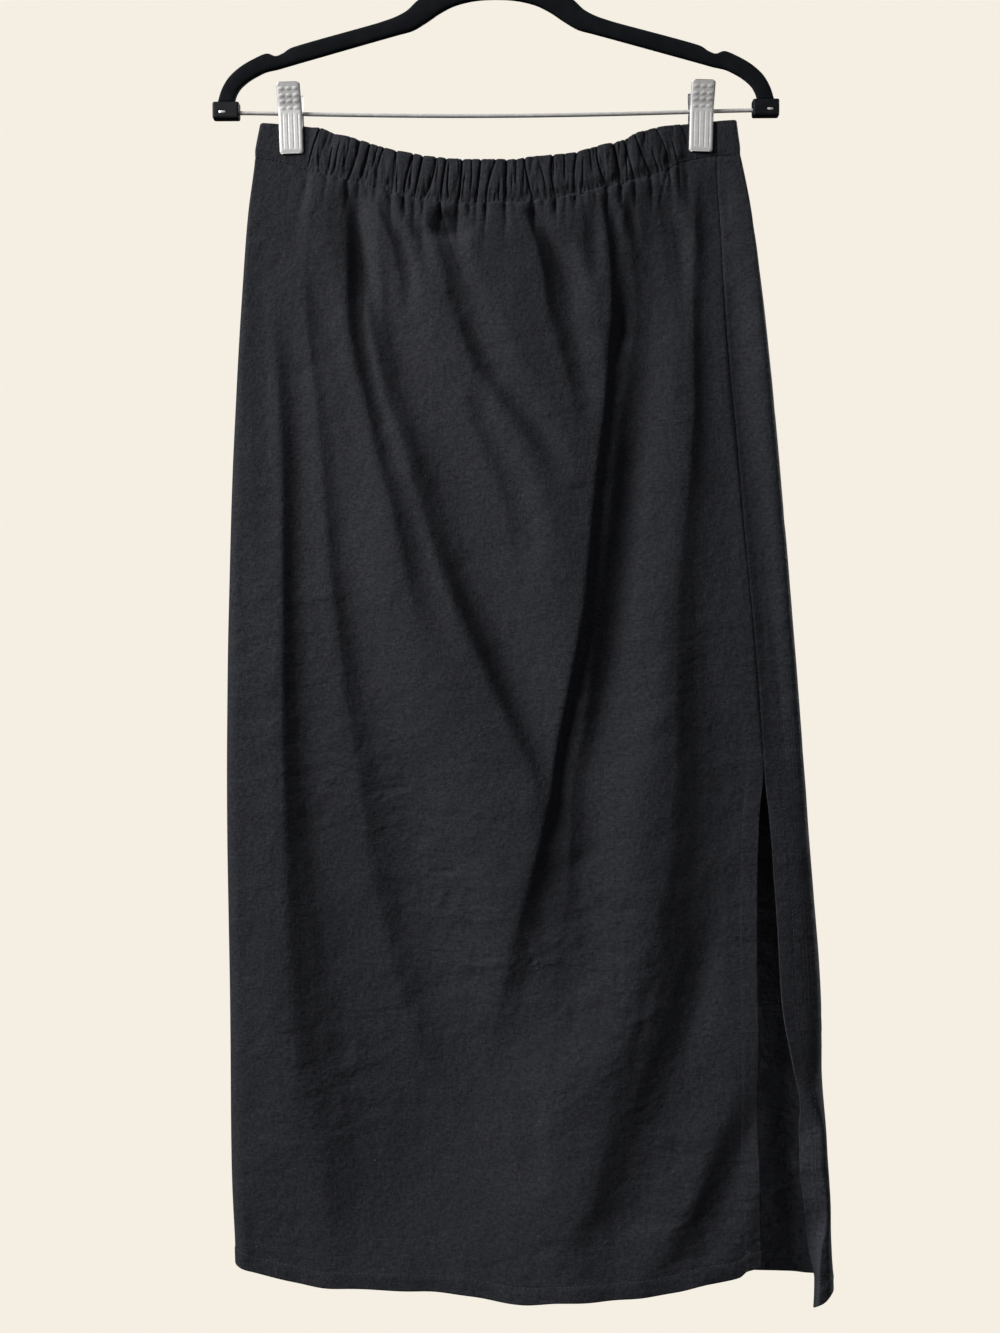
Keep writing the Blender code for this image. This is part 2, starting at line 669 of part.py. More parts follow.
def band(name, cloth, top_shares, seam_shares, creases):
    """One half of the elastic casing, from the seam up to its folded top."""
    limits = gather_limits(cloth)
    low = seam_height(x_along(cloth, seam_shares, SEAM_Z))
    high = top_height(x_along(cloth, top_shares, BAND_TOP_Z))
    rows = []
    for rise in BAND_ROWS:
        z = low + (high - low) * rise
        share = seam_shares + (top_shares - seam_shares) * rise
        rows.append(lifted(cloth, share, z, np.zeros(len(z)), creases_at(cloth, creases, rise), limits))
    return wall_from(name, np.array(rows), None, 1, BAND_WALL)


def front_hem_of(cloth, share):
    return smooth(x_along(cloth, share, FRONT_HEM_Z), HEM_F["x"], HEM_F["z"])


def back_hem_of(cloth, share):
    return smooth(share, HEM_B["share"], HEM_B["z"])


def make_front():
    """The front panel and its half of the waistband. Both start round the left fold."""
    cloth = Cloth(front_path, -1)
    creases = crease_shares(cloth, FRONT_GATHERS)
    turn = side_fold_shares(cloth, section_at(0.0)["left"], 1)
    top_shares, seam_shares = gather_columns(creases, turn, [FRONT_EDGE_COLUMN])
    panel("skirt_front", cloth, seam_shares, creases, front_hem_of, FRONT_ROWS, FRONT_MERGE)
    band("waistband_front", cloth, top_shares, seam_shares, creases)


def make_back():
    """The back panel and its half of the waistband. Both end round the right fold."""
    cloth = Cloth(back_path, 1)
    creases = crease_shares(cloth, back_gathers())
    turn = side_fold_shares(cloth, section_at(0.0)["right"], -1)
    top_shares, seam_shares = gather_columns(creases, [BACK_EDGE_COLUMN], turn)
    panel("skirt_back", cloth, seam_shares, creases, back_hem_of, BACK_ROWS, BACK_MERGE)
    band("waistband_back", cloth, top_shares, seam_shares, creases)


# ---------------------------------------------------------------- hanger

def make_frame():
    """The flocked arms and hump, with the hook's socket."""
    arm = columns(ARM_COLUMNS, ARM)
    bm = bmesh.new()
    rings = []
    front = [(0.0, ARM_EDGE), (ARM_CHAMFER, 0.5), (1 - ARM_CHAMFER, 0.5), (1.0, ARM_EDGE)]
    ring_of = front + [(down, -deep) for down, deep in front[::-1]]
    stations = [(-1, i) for i in range(len(ARM) - 1, 0, -1)] + [(1, i) for i in range(len(ARM))]
    for side, i in stations:
        upper = np.array([side * arm["upper_x"][i], arm["upper_z"][i]])
        lower = np.array([side * arm["lower_x"][i], arm["lower_z"][i]])
        ring = []
        for down, deep in ring_of:
            x, z = upper * (1 - down) + lower * down
            ring.append(bm.verts.new((x * MM, deep * arm["depth"][i] * MM, z * MM)))
        rings.append(ring)
    for a, b in zip(rings[:-1], rings[1:]):
        for k in range(len(ring_of)):
            n = (k + 1) % len(ring_of)
            bm.faces.new((a[k], a[n], b[n], b[k]))
    bm.faces.new(rings[0])
    bm.faces.new(rings[-1])
    bmesh.ops.recalc_face_normals(bm, faces=bm.faces)
    frame = object_from("hanger_frame", bm, FLOCK_COLOUR, FLOCK_ROUGHNESS, 0.0)
    socket = cylinder("hook_socket_cutter", HOOK_WIRE + GAP, HOOK_SOCKET * 2, "Z")
    socket.location = (0, 0, HUMP_TOP * MM)
    cut(frame, socket)


def hook_points():
    """The middle line of the hook: up the neck, out to the side and round the crook to its tip."""
    centre = np.array([0.0, -HOOK_INNER])
    radius = HOOK_INNER + HOOK_WIRE
    foot = HUMP_TOP - HOOK_SOCKET + GAP
    points = [(0.0, z) for z in np.linspace(foot, HOOK_NECK_TOP, 7)]
    join = math.radians(HOOK_JOIN_ANGLE)
    start = np.array([0.0, HOOK_NECK_TOP])
    end = centre + radius * np.array([math.cos(join), math.sin(join)])
    reach = HOOK_SWING * np.linalg.norm(end - start)
    out = np.array([0.0, 1.0]) * reach
    into = np.array([-math.sin(join), math.cos(join)]) * reach
    for f in np.linspace(0, 1, 9)[1:-1]:
        points.append(tuple(
            start * (1 + 2 * f) * (1 - f) ** 2
            + end * (3 - 2 * f) * f**2
            + out * f * (1 - f) ** 2
            - into * f**2 * (1 - f)
        ))
    for angle in np.linspace(join, math.radians(HOOK_TIP_ANGLE), 25):
        points.append(tuple(centre + radius * np.array([math.cos(angle), math.sin(angle)])))
    return [(x, 0.0, z) for x, z in points]


def make_hook():
    wire("hanger_hook", hook_points(), HOOK_WIRE, WIRE_COLOUR)


def make_bar():
    """The wire bar, straight in its caps and sagging a little between them."""
    inner = np.linspace(-BAR_SAG_HALF, BAR_SAG_HALF, 19)
    drop = BAR_SAG * (1 - (inner / BAR_SAG_HALF) ** 2) ** BAR_SAG_POWER
    points = [(-BAR_HALF, 0.0, BAR_Z)]
    points += [(x, 0.0, BAR_Z - d) for x, d in zip(inner, drop)]
    points += [(BAR_HALF, 0.0, BAR_Z)]
    wire("hanger_bar", points, BAR_RADIUS, WIRE_COLOUR)


def make_cap(name, side):
    """A cap on an arm's end: a rounded block with a blind hole for the bar and a window in front."""
    middle_x = (CAP_OUTER + CAP_INNER) / 2
    middle_z = CAP_TOP - CAP_HEIGHT / 2
    cap = block(name, (CAP_OUTER - CAP_INNER, CAP_DEPTH, CAP_HEIGHT), (side * middle_x, 0, middle_z))
    bevel = cap.modifiers.new("edges", "BEVEL")
    bevel.width = CAP_BEVEL * MM
    bevel.segments = 2
    give_material(cap, FLOCK_COLOUR, FLOCK_ROUGHNESS, 0.0)
    hole_length = (BAR_HALF + GAP - CAP_INNER) * 2
    hole = cylinder(name + "_hole_cutter", BAR_RADIUS + GAP, hole_length, "X")
    hole.location = (side * CAP_INNER * MM, 0, BAR_Z * MM)
    cut(cap, hole)
    width, height = CAP_WINDOW
    place = (side * CAP_WINDOW_X, -CAP_DEPTH / 2, BAR_Z)
    cut(cap, block(name + "_window_cutter", (width, CAP_DEPTH, height), place))


def make_jaw(name, side, face):
    """One stamped plate of a clip. face is -1 for the front jaw."""
    profile = columns(JAW_COLUMNS, JAW)
    bm = bmesh.new()
    line = np.stack([face * profile["y"], profile["z"]], 1)
    along = np.gradient(line, axis=0)
    along /= np.linalg.norm(along, axis=1, keepdims=True)
    across = np.stack([-along[:, 1], along[:, 0]], 1) * JAW_WALL / 2
    half = CLIP_WIDTH / 2
    tilt = math.radians(CLIP_TILT) * side
    rings = []
    for (y, z), (dy, dz) in zip(line, across):
        ring = []
        for x, sign in ((-half, 1), (half, 1), (half, -1), (-half, -1)):
            up = z + sign * dz - BAR_AT_CLIP
            world_x = side * CLIP_X + x * math.cos(tilt) + up * math.sin(tilt)
            world_z = BAR_AT_CLIP - x * math.sin(tilt) + up * math.cos(tilt)
            ring.append(bm.verts.new((world_x * MM, (y + sign * dy) * MM, world_z * MM)))
        rings.append(ring)
    for a, b in zip(rings[:-1], rings[1:]):
        for k in range(4):
            n = (k + 1) % 4
            bm.faces.new((a[k], a[n], b[n], b[k]))
    bm.faces.new(rings[0])
    bm.faces.new(rings[-1])
    bmesh.ops.recalc_face_normals(bm, faces=bm.faces)
    object_from(name, bm, CLIP_COLOUR, CLIP_ROUGHNESS, 1.0)


def make_spring(name, side):
    """The coil round the bar that presses a clip's jaws together, as one sleeve."""
    spring = cylinder(name, SPRING_OUTER, SPRING_LENGTH, "X")
    spring.location = (side * CLIP_X * MM, 0, BAR_AT_CLIP * MM)
    give_material(spring, CLIP_COLOUR, CLIP_ROUGHNESS, 1.0)
    bore = cylinder(name + "_bore_cutter", SPRING_BORE, SPRING_LENGTH * 2, "X")
    bore.location = spring.location
    cut(spring, bore)


def make_clips():
    for word, side in (("left", -1), ("right", 1)):
        make_jaw(f"clip_{word}_front_jaw", side, -1)
        make_jaw(f"clip_{word}_back_jaw", side, 1)
        make_spring(f"clip_{word}_spring", side)


# ---------------------------------------------------------------- objects

def give_material(obj, colour, roughness, metallic):
    material = bpy.data.materials.new(obj.name)
    material.use_nodes = True
    shader = material.node_tree.nodes["Principled BSDF"]
    shader.inputs["Base Color"].default_value = (*colour, 1)
    shader.inputs["Roughness"].default_value = roughness
    shader.inputs["Metallic"].default_value = metallic
    obj.data.materials.append(material)


def object_from(name, bm, colour, roughness, metallic):
    mesh = bpy.data.meshes.new(name)
    bm.to_mesh(mesh)
    bm.free()
    obj = bpy.data.objects.new(name, mesh)
    bpy.context.collection.objects.link(obj)
    give_material(obj, colour, roughness, metallic)
    mesh.shade_smooth()
    mesh.set_sharp_from_angle(angle=math.radians(SHARP_ANGLE))
    return obj


def wire(name, points, radius, colour):
    """A round wire through the points."""
    curve = bpy.data.curves.new(name, "CURVE")
    curve.dimensions = "3D"
    curve.bevel_depth = radius * MM
    curve.bevel_resolution = 2
    curve.use_fill_caps = True
    spline = curve.splines.new("POLY")
    spline.points.add(len(points) - 1)
    for place, (x, y, z) in zip(spline.points, points):
        place.co = (x * MM, y * MM, z * MM, 1)
    obj = bpy.data.objects.new(name, curve)
    bpy.context.collection.objects.link(obj)
    give_material(obj, colour, WIRE_ROUGHNESS, 1.0)
    return obj


def cylinder(name, radius, length, axis):
    """A cylinder on the origin, along X or Z."""
    turn = (0, math.pi / 2, 0) if axis == "X" else (0, 0, 0)
    bpy.ops.mesh.primitive_cylinder_add(
        vertices=16, radius=radius * MM, depth=length * MM, rotation=turn,
    )
    obj = bpy.context.object
    bpy.ops.object.transform_apply(location=False, rotation=True, scale=False)
    obj.name = name
    return obj


def block(name, size, place):
    """A block of this size with its middle at place."""
    bpy.ops.mesh.primitive_cube_add(size=1)
    obj = bpy.context.object
    obj.name = name
    obj.scale = [s * MM for s in size]
    bpy.ops.object.transform_apply(location=False, rotation=False, scale=True)
    obj.location = [p * MM for p in place]
    return obj


def cut(obj, cutter):
    """Take the cutter, which is hidden, out of the object."""
    cutter.hide_render = True
    cutter.display_type = "WIRE"
    boolean = obj.modifiers.new(cutter.name, "BOOLEAN")
    boolean.operation = "DIFFERENCE"
    boolean.object = cutter


def main():
    for obj in list(bpy.data.objects):
        bpy.data.objects.remove(obj, do_unlink=True)
    make_front()
    make_back()
    make_frame()
    make_hook()
    make_bar()
    make_cap("hanger_cap_left", -1)
    make_cap("hanger_cap_right", 1)
    make_clips()


main()
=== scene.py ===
"""The looks of the maxi skirt on its clip hanger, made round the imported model.

Sizes in the tables are millimetres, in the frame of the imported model: +X is the viewer's right, -Y the
front and +Z up. The cloth is the same surface as the solids', in thin shells with finer folds, gathers
and puckers, and with hems, facings and stitches. A pair of numbers that ease() takes is the place where
something begins to grow and the place where it has its full size.
"""

import math

import bpy
import mathutils
import numpy as np
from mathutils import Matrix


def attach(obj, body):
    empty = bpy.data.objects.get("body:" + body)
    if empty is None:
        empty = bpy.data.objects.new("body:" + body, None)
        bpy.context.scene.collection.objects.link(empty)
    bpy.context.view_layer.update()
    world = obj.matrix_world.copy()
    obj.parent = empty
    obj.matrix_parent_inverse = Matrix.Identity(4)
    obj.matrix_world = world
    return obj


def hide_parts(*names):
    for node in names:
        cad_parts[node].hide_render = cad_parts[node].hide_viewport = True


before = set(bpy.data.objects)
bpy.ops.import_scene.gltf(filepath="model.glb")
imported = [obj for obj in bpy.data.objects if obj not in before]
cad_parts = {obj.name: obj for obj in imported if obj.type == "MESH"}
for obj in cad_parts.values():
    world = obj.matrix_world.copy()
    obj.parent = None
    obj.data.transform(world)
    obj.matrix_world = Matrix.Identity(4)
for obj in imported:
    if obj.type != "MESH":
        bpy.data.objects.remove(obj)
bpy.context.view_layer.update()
BODY = "root"

MM = 0.001
GAP = 0.3  # between the solids

# Cloth, as in the solids
LEFT_SEAM_INSET = 15.0  # how far behind the left fold the left side seam runs
WAIST_Z = -260.0  # level 0
LEVEL_HEIGHT = 880.0  # level 1 is this far below level 0
BELLY_POWER = 1.6  # how softly the belly of a plan section ends
BAND_TOP_Z = -255.0  # middle heights of the band's top, of its seam and of the front hem
SEAM_Z = -280.0
FRONT_HEM_Z = -1137.0
RIDGE_HEIGHT = 3.8  # of the gathers, over their creases
GATHER_LIMIT = 150.0  # the clips hold the band flat beyond this
GATHER_LIMIT_Z = -268.0
GATHER_LIMIT_FADE = 0.03  # share of the panel over which the ridges end there
GATHER_FADE = 45.0  # how far below the waist seam the ridges die out
CREASE_FADE = 40.0  # how far below it a crease may still cut into the cloth

# Cloth, finer than the solids
PANEL_WALL = 0.7
PANEL_FULLNESS = 1.1  # how much more cloth than panel there is along it, for its weave
CREASE_WIDTH = 1.8
GATHER_REACH_MOST = 20.0  # the puckers and folds take over further down
NORMAL_STEP = 0.0016  # share of a panel between the points that give its outward direction
SECTION_POINTS = 160  # across the flat of a plan section
FOLD_POINTS = 13  # round each side fold
ROUNDING_MIX = (-0.8, 0.8)  # shares of the half width over which one fold's height becomes the other's
LEAN_GROWS = (-0.2, 1.0)  # and over which the section leans forward
LEVEL_COUNT = 180  # heights and places along a panel at which its plain surface is worked out
SHARE_COUNT = 1601

# Plan sections. left and right are the side folds, with their rounding; belly is how far the middle
# stands out from the folds, over the span given as a share of the half width; lean is how far the
# right side swings forward.
SECTION_COLUMNS = (
    "level", "left", "right", "round_left", "round_right", "front_belly", "back_belly", "span", "lean",
)
SECTIONS = (
    (-0.04, -182.0, 186.5, 1.65, 1.65, 8.5, 8.5, 0.79, 0.0),
    (0.00, -188.9, 191.3, 1.65, 1.65, 9.0, 9.0, 0.79, 0.0),
    (0.01, -190.0, 193.2, 1.70, 1.70, 9.2, 9.0, 0.79, 0.0),
    (0.05, -194.8, 199.8, 2.60, 3.00, 11.0, 8.5, 0.82, 0.0),
    (0.10, -198.6, 205.7, 4.00, 5.00, 13.5, 8.0, 0.88, 0.0),
    (0.20, -204.6, 213.7, 6.50, 8.00, 18.0, 8.0, 0.96, -1.0),
    (0.32, -209.3, 222.0, 8.50, 11.5, 22.0, 8.0, 1.00, -2.0),
    (0.46, -213.0, 231.5, 10.0, 15.0, 25.5, 8.0, 1.00, -4.0),
    (0.60, -213.9, 238.7, 11.0, 18.0, 28.0, 8.0, 1.00, -5.0),
    (0.75, -212.6, 246.5, 12.0, 21.0, 29.0, 8.0, 1.00, -6.5),
    (0.90, -211.8, 252.0, 12.0, 24.0, 29.0, 8.0, 1.00, -8.0),
    (1.00, -208.3, 255.5, 11.0, 25.0, 28.0, 8.0, 1.00, -8.0),
)

# The right side seam, and below the slit's top the two edges of the slit.
SLIT_COLUMNS = ("level", "front_edge", "back_edge")
SLIT_TOP = 0.5425
SLIT = (
    (-0.04, 173, 173), (0, 173.1, 173.1), (0.07, 176.4, 176.4), (0.17, 181, 181), (0.25, 186.4, 186.4),
    (0.33, 190.9, 190.9), (0.42, 196.9, 196.9), (0.49, 200.9, 200.9), (SLIT_TOP, 202.7, 202.7),
    (0.59, 198.7, 206.3), (0.67, 196.2, 210.2), (0.75, 195.2, 213.4), (0.82, 194.7, 223.6),
    (0.89, 194.4, 227.3), (0.95, 194.7, 231.1), (1, 195.4, 232),
)

# The waistband's top edge and the seam under it.
WAIST_COLUMNS = ("x", "top", "seam")
WAIST = (
    (-190, -235, -261.5), (-172, -236.5, -264), (-149, -239.5, -271.5), (-118, -249.5, -279.5),
    (-96, -256.3, -286.8), (-76, -261.3, -293.2), (-50, -267, -300), (-20, -269.2, -302.2),
    (14, -269.4, -302.1), (40, -266.8, -299.3), (62, -263, -294.8), (84, -258.3, -288.6),
    (112, -250.3, -281), (131, -243.2, -273.1), (148, -238.9, -265.8), (172, -235.8, -261.6),
    (191, -234.5, -260.9),
)

# The lower edges. The front's is given across the skirt, the back's along the panel.
FRONT_HEM_COLUMNS = ("x", "z")
FRONT_HEM = (
    (-209, -1126.5), (-197, -1129.7), (-180, -1133), (-134, -1137.5), (-94, -1136.5), (-44, -1137),
    (13, -1142), (41, -1138.3), (72, -1136), (103, -1133), (130, -1129.3), (150, -1125.5),
    (165, -1123.6), (178, -1121.2), (185, -1116.5), (195, -1114.8),
)
BACK_HEM_COLUMNS = ("share", "z")
BACK_HEM = (
    (0, -1127.5), (0.04, -1133), (0.12, -1141), (0.3, -1146), (0.86, -1146.5), (0.92, -1140.5),
    (0.945, -1142), (0.966, -1148.5), (1, -1159),
)

# Creases of the gathers across the front. The columns are their x at the band's top and at its seam,
# their depth, and how far each runs down the panel.
FRONT_GATHERS = (
    (-138, -148, 3.2, 14), (-126, -132, 2.2, 34), (-114, -123.5, 1.4, 10), (-106, -115.5, 3.8, 70),
    (-98.5, -107, 3.6, 12), (-92, -100, 2.4, 10), (-87, -93.5, 2.4, 24), (-77.5, -81.5, 2.8, 60),
    (-64.5, -71.5, 3.8, 22), (-57, -63.5, 3, 16), (-46.5, -56.5, 3.8, 30), (-38.5, -43, 3.6, 34),
    (-26, -29.5, 3.8, 44), (-19, -21, 1.8, 12), (-12, -15.5, 3, 18), (-0.5, -8, 2.8, 12),
    (8, 7, 3.4, 20), (15.5, 14.5, 1.6, 10), (22, 29, 3.8, 60), (31, 37, 1.6, 12), (43.5, 46, 3.8, 16),
    (53, 53.5, 2, 26), (62.5, 61, 3.6, 12), (72.5, 77, 1.6, 10), (78, 86, 3.8, 70),
    (91, 96.5, 3.4, 18), (100, 107.5, 3, 90), (108, 120.5, 3.8, 30), (117, 127, 1.8, 12),
    (125, 135.5, 3.4, 60), (135.5, 142.5, 2.4, 20), (145, 149.5, 2, 30),
)
BACK_GATHER_COUNT = 34
BACK_GATHER_LIMIT = 147.0
BACK_LEAN = 6.0  # how far the outer gathers of the back spread from the band's top to its seam

# Folds that the hanging weight draws in the cloth. Each is a line down the cloth; from its left the
# cloth drops by depth over about width, and beyond it comes back slowly over back. A depth below 0 is a
# swell. On the back left and right change places.
LINE_COLUMNS = ("z", "x", "depth", "width", "back")
FRONT_FOLDS = (
    # From the left clip to the middle, and a lesser one on its left
    (
        (-320, -104, 0, 7, 30), (-381, -98, 11, 8, 50), (-419, -91, 15.5, 9, 65),
        (-457, -82, 16.5, 10, 80), (-496, -68, 15, 11, 85), (-534, -57, 17, 12, 85),
        (-572, -45, 17, 12, 85), (-610, -31, 16, 11, 80), (-649, -13, 14, 11, 70),
        (-687, 3, 11, 10, 60), (-733, 24, 7, 9, 45), (-785, 40, 0, 8, 30),
    ),
    (
        (-270, -116, 0, 7, 20), (-310, -115, 7, 7, 18), (-345, -114.5, 9, 7, 18),
        (-381, -114, 10, 7, 18), (-419, -109, 10, 7, 18), (-457, -100, 9.5, 7, 18),
        (-496, -91, 9.5, 8, 20), (-534, -80, 9.5, 9, 22), (-572, -71, 7.5, 10, 24),
        (-610, -62, 4.5, 11, 24), (-655, -50, 0, 11, 20),
    ),
    # The deep one from the right of the waistband to the middle, and two lesser ones on its right
    (
        (-285, 103, 0, 12, 30), (-305, 104, 5, 14, 34), (-350, 103, 8, 12, 50), (-381, 97, 8, 11, 65),
        (-411, 89.5, 7.5, 7, 75), (-442, 86.5, 7, 5.5, 85), (-472, 83.5, 7, 5, 85),
        (-503, 79, 7, 5, 85), (-549, 74, 7.5, 5, 85), (-610, 68, 8, 5, 85), (-640, 63, 9, 5, 85),
        (-687, 53.5, 10.5, 5, 80), (-725, 46, 11, 5.5, 75), (-763, 40.5, 9.5, 6, 70),
        (-790, 34, 10, 8, 65), (-820, 28, 13, 12, 60), (-850, 21, 14, 16, 85), (-885, 14, 13, 19, 95),
        (-915, 7, 11, 21, 95), (-950, -1, 6, 22, 80), (-985, -7, 0, 22, 40),
    ),
    (
        (-370, 111, 0, 9, 24), (-411, 109, 4, 9, 26), (-442, 105, 5, 9, 28), (-472, 99, 6.5, 10, 32),
        (-503, 95, 7.5, 11, 36), (-549, 90, 7.5, 12, 40), (-610, 81, 7.5, 13, 42),
        (-687, 74, 7.5, 13, 42), (-763, 60, 8.5, 12, 42), (-810, 58, 8, 13, 42),
        (-850, 55, 7.5, 15, 55), (-900, 47, 6, 18, 60), (-960, 38, 0, 18, 50),
    ),
    (
        (-470, 102, 0, 8, 14), (-511, 96.5, 3.5, 9, 16), (-580, 88, 4, 10, 18), (-656, 77, 3.5, 9, 16),
        (-717, 65.7, 2, 8, 14), (-760, 56, 0, 8, 12),
    ),
    # From the left clip to the lower middle
    (
        (-330, -148, 0, 7, 20), (-404, -144, 6, 8, 40), (-457, -138, 8, 9, 50),
        (-519, -132.5, 9, 10, 55), (-580, -128, 10, 10, 50), (-649, -120, 11, 12, 60),
        (-710, -111, 11, 15, 70), (-763, -103, 11.5, 18, 80), (-840, -91, 12, 20, 80),
        (-886, -80, 11, 20, 80), (-939, -65, 8.5, 20, 80), (-978, -47, 6, 20, 70),
        (-1025, -18, 0, 14, 40),
    ),
    # The long hollow inside the left side fold
    (
        (-380, -178, 0, 9, 25), (-430, -168, 6, 9, 30), (-505, -164, 8, 8, 40), (-572, -164, 9, 7, 60),
        (-649, -164, 11, 8, 110), (-710, -163, 14, 11, 150), (-763, -161, 17, 14, 180),
        (-802, -158.5, 19, 18, 190), (-840, -155, 21, 23, 190), (-880, -152, 23, 28, 190),
        (-916, -149, 25, 32, 185), (-954, -144, 26, 34, 180), (-993, -137, 25, 34, 165),
        (-1031, -130, 22, 34, 145), (-1069, -124, 16, 28, 120), (-1125, -120, 0, 26, 90),
    ),
    # From the right clip to the foot of the front, and one beside its low end
    (
        (-262, 161, 0, 7, 30), (-300, 159.5, 4, 8, 45), (-350, 157, 6, 8, 50), (-419, 156, 6.5, 8, 50),
        (-457, 156, 6.5, 8, 50), (-496, 153.5, 7, 10, 55), (-572, 148, 8, 15, 60),
        (-626, 145, 8.5, 19, 60), (-687, 144, 8.5, 20, 60), (-748, 143, 9, 22, 60),
        (-802, 140, 10, 24, 60), (-855, 132, 12, 30, 60), (-909, 115, 12.5, 40, 65),
        (-955, 104, 12.5, 42, 65), (-993, 98, 12, 36, 60), (-1031, 87, 11.5, 26, 54),
        (-1069, 75, 10, 22, 50), (-1092, 57, 6.5, 26, 45), (-1128, 44, 0, 28, 40),
    ),
    (
        (-850, 152, 0, 10, 16), (-885, 144, 3, 12, 20), (-932, 131, 4, 14, 22), (-985, 108, 3, 14, 22),
        (-1030, 90, 0, 14, 20),
    ),
    # Along the side seam, above the slit
    (
        (-330, 178, 0, 8, 14), (-404, 181.5, 4, 8, 18), (-457, 184, 4.5, 8, 20),
        (-534, 192, 4.5, 9, 20), (-610, 199, 5.5, 10, 20), (-687, 203, 6, 13, 20),
        (-740, 208, 4, 13, 20), (-800, 213, 0, 12, 20),
    ),
    # A faint swell along the side seam
    (
        (-262, 179, 0, 8, 14), (-300, 184, -1.2, 9, 20), (-404, 190, -1.2, 9, 30),
        (-534, 199, -1, 9, 30), (-650, 207, -0.8, 9, 30), (-800, 217, -0.6, 10, 30),
        (-960, 230, 0, 14, 30),
    ),
    # From the dent under the waistband to the middle, and one below it
    (
        (-300, -55, 0, 12, 12), (-310, -51, 7, 14, 13), (-321, -46, 8, 15, 14), (-333, -42, 5, 10, 14),
        (-357, -37.5, 5, 8, 20), (-382, -32, 6, 9, 26), (-411, -22, 8.5, 9, 28), (-435, -12, 9, 9, 28),
        (-458, 5, 8.5, 9, 26), (-484, 25, 6, 9, 20), (-520, 43, 0, 9, 14),
    ),
    (
        (-440, -27, 0, 6, 12), (-470, -18, 5.5, 9, 16), (-511, 0, 6, 10, 20), (-549, 12, 4, 10, 20),
        (-600, 17, 0, 9, 14),
    ),
    # A short one from the middle of the waistband
    (
        (-300, 20, 0, 6, 12), (-310, 23.5, 4, 6, 14), (-337, 34, 6, 7, 20), (-358, 39, 7, 8, 24),
        (-387, 43.5, 7, 9, 26), (-411, 50.5, 6, 9, 24), (-442, 58, 4, 8, 18), (-475, 64, 0, 8, 12),
    ),
    # From the slit's edge to the hem
    (
        (-950, 196, 0, 12, 18), (-993, 180, 5, 14, 22), (-1031, 163, 7.5, 16, 24),
        (-1069, 150, 7.5, 16, 26), (-1092, 138, 6, 18, 28), (-1130, 116, 0, 18, 28),
    ),
    # A faint one near the hem's middle
    (
        (-985, 11, 0, 10, 12), (-1005, 11, 3, 12, 14), (-1035, 12.5, 3, 12, 14),
        (-1060, 14, 0, 12, 14),
    ),
    # The broad hollow above the left half of the hem
    (
        (-930, -50, 0, 60, 70), (-1010, -62, 9, 64, 80), (-1080, -74, 11, 66, 80),
        (-1150, -80, 4, 66, 80),
    ),
    # Short ones under the waist seam, and one at the left side fold
    (
        (-292, -95, 0, 5, 10), (-312, -87.5, 4, 5, 12), (-337, -78, 5, 6, 12), (-362, -74, 4.5, 6, 10),
        (-388, -72, 0, 6, 10),
    ),
    ((-293, -74, 0, 5, 10), (-312, -69, 3.5, 5, 10), (-337, -64, 4, 6, 12), (-365, -60, 0, 6, 12)),
    (
        (-283, -131, 0, 12, 14), (-305, -128, 5, 16, 14), (-345, -122, 6, 16, 14),
        (-388, -117, 0, 16, 14),
    ),
    ((-322, 36, 0, 8, 12), (-340, 43, 3.5, 9, 14), (-362, 51, 4, 10, 14), (-395, 60, 0, 9, 14)),
    (
        (-292, 81.5, 0, 4, 10), (-312, 85, 4, 4.5, 12), (-337, 89, 5, 4.5, 14), (-392, 91, 5, 5, 14),
        (-430, 86, 0, 5, 12),
    ),
    ((-292, 96, 0, 4, 8), (-312, 99.5, 3, 4.5, 9), (-340, 104, 0, 5, 9)),
    ((-285, 126, 0, 6, 10), (-310, 131, 3.5, 7, 12), (-345, 136, 3, 8, 12), (-400, 139, 0, 8, 12)),
    ((-300, 138, 0, 6, 9), (-330, 141.5, 2.5, 7, 10), (-375, 146, 0, 7, 10)),
    ((-300, 69, 0, 6, 9), (-322, 69.5, 2.5, 6, 9), (-375, 70, 0, 6, 9)),
    ((-330, -192, 0, 6, 9), (-470, -189, 1.8, 8, 12), (-620, -186, 0, 8, 12)),
)

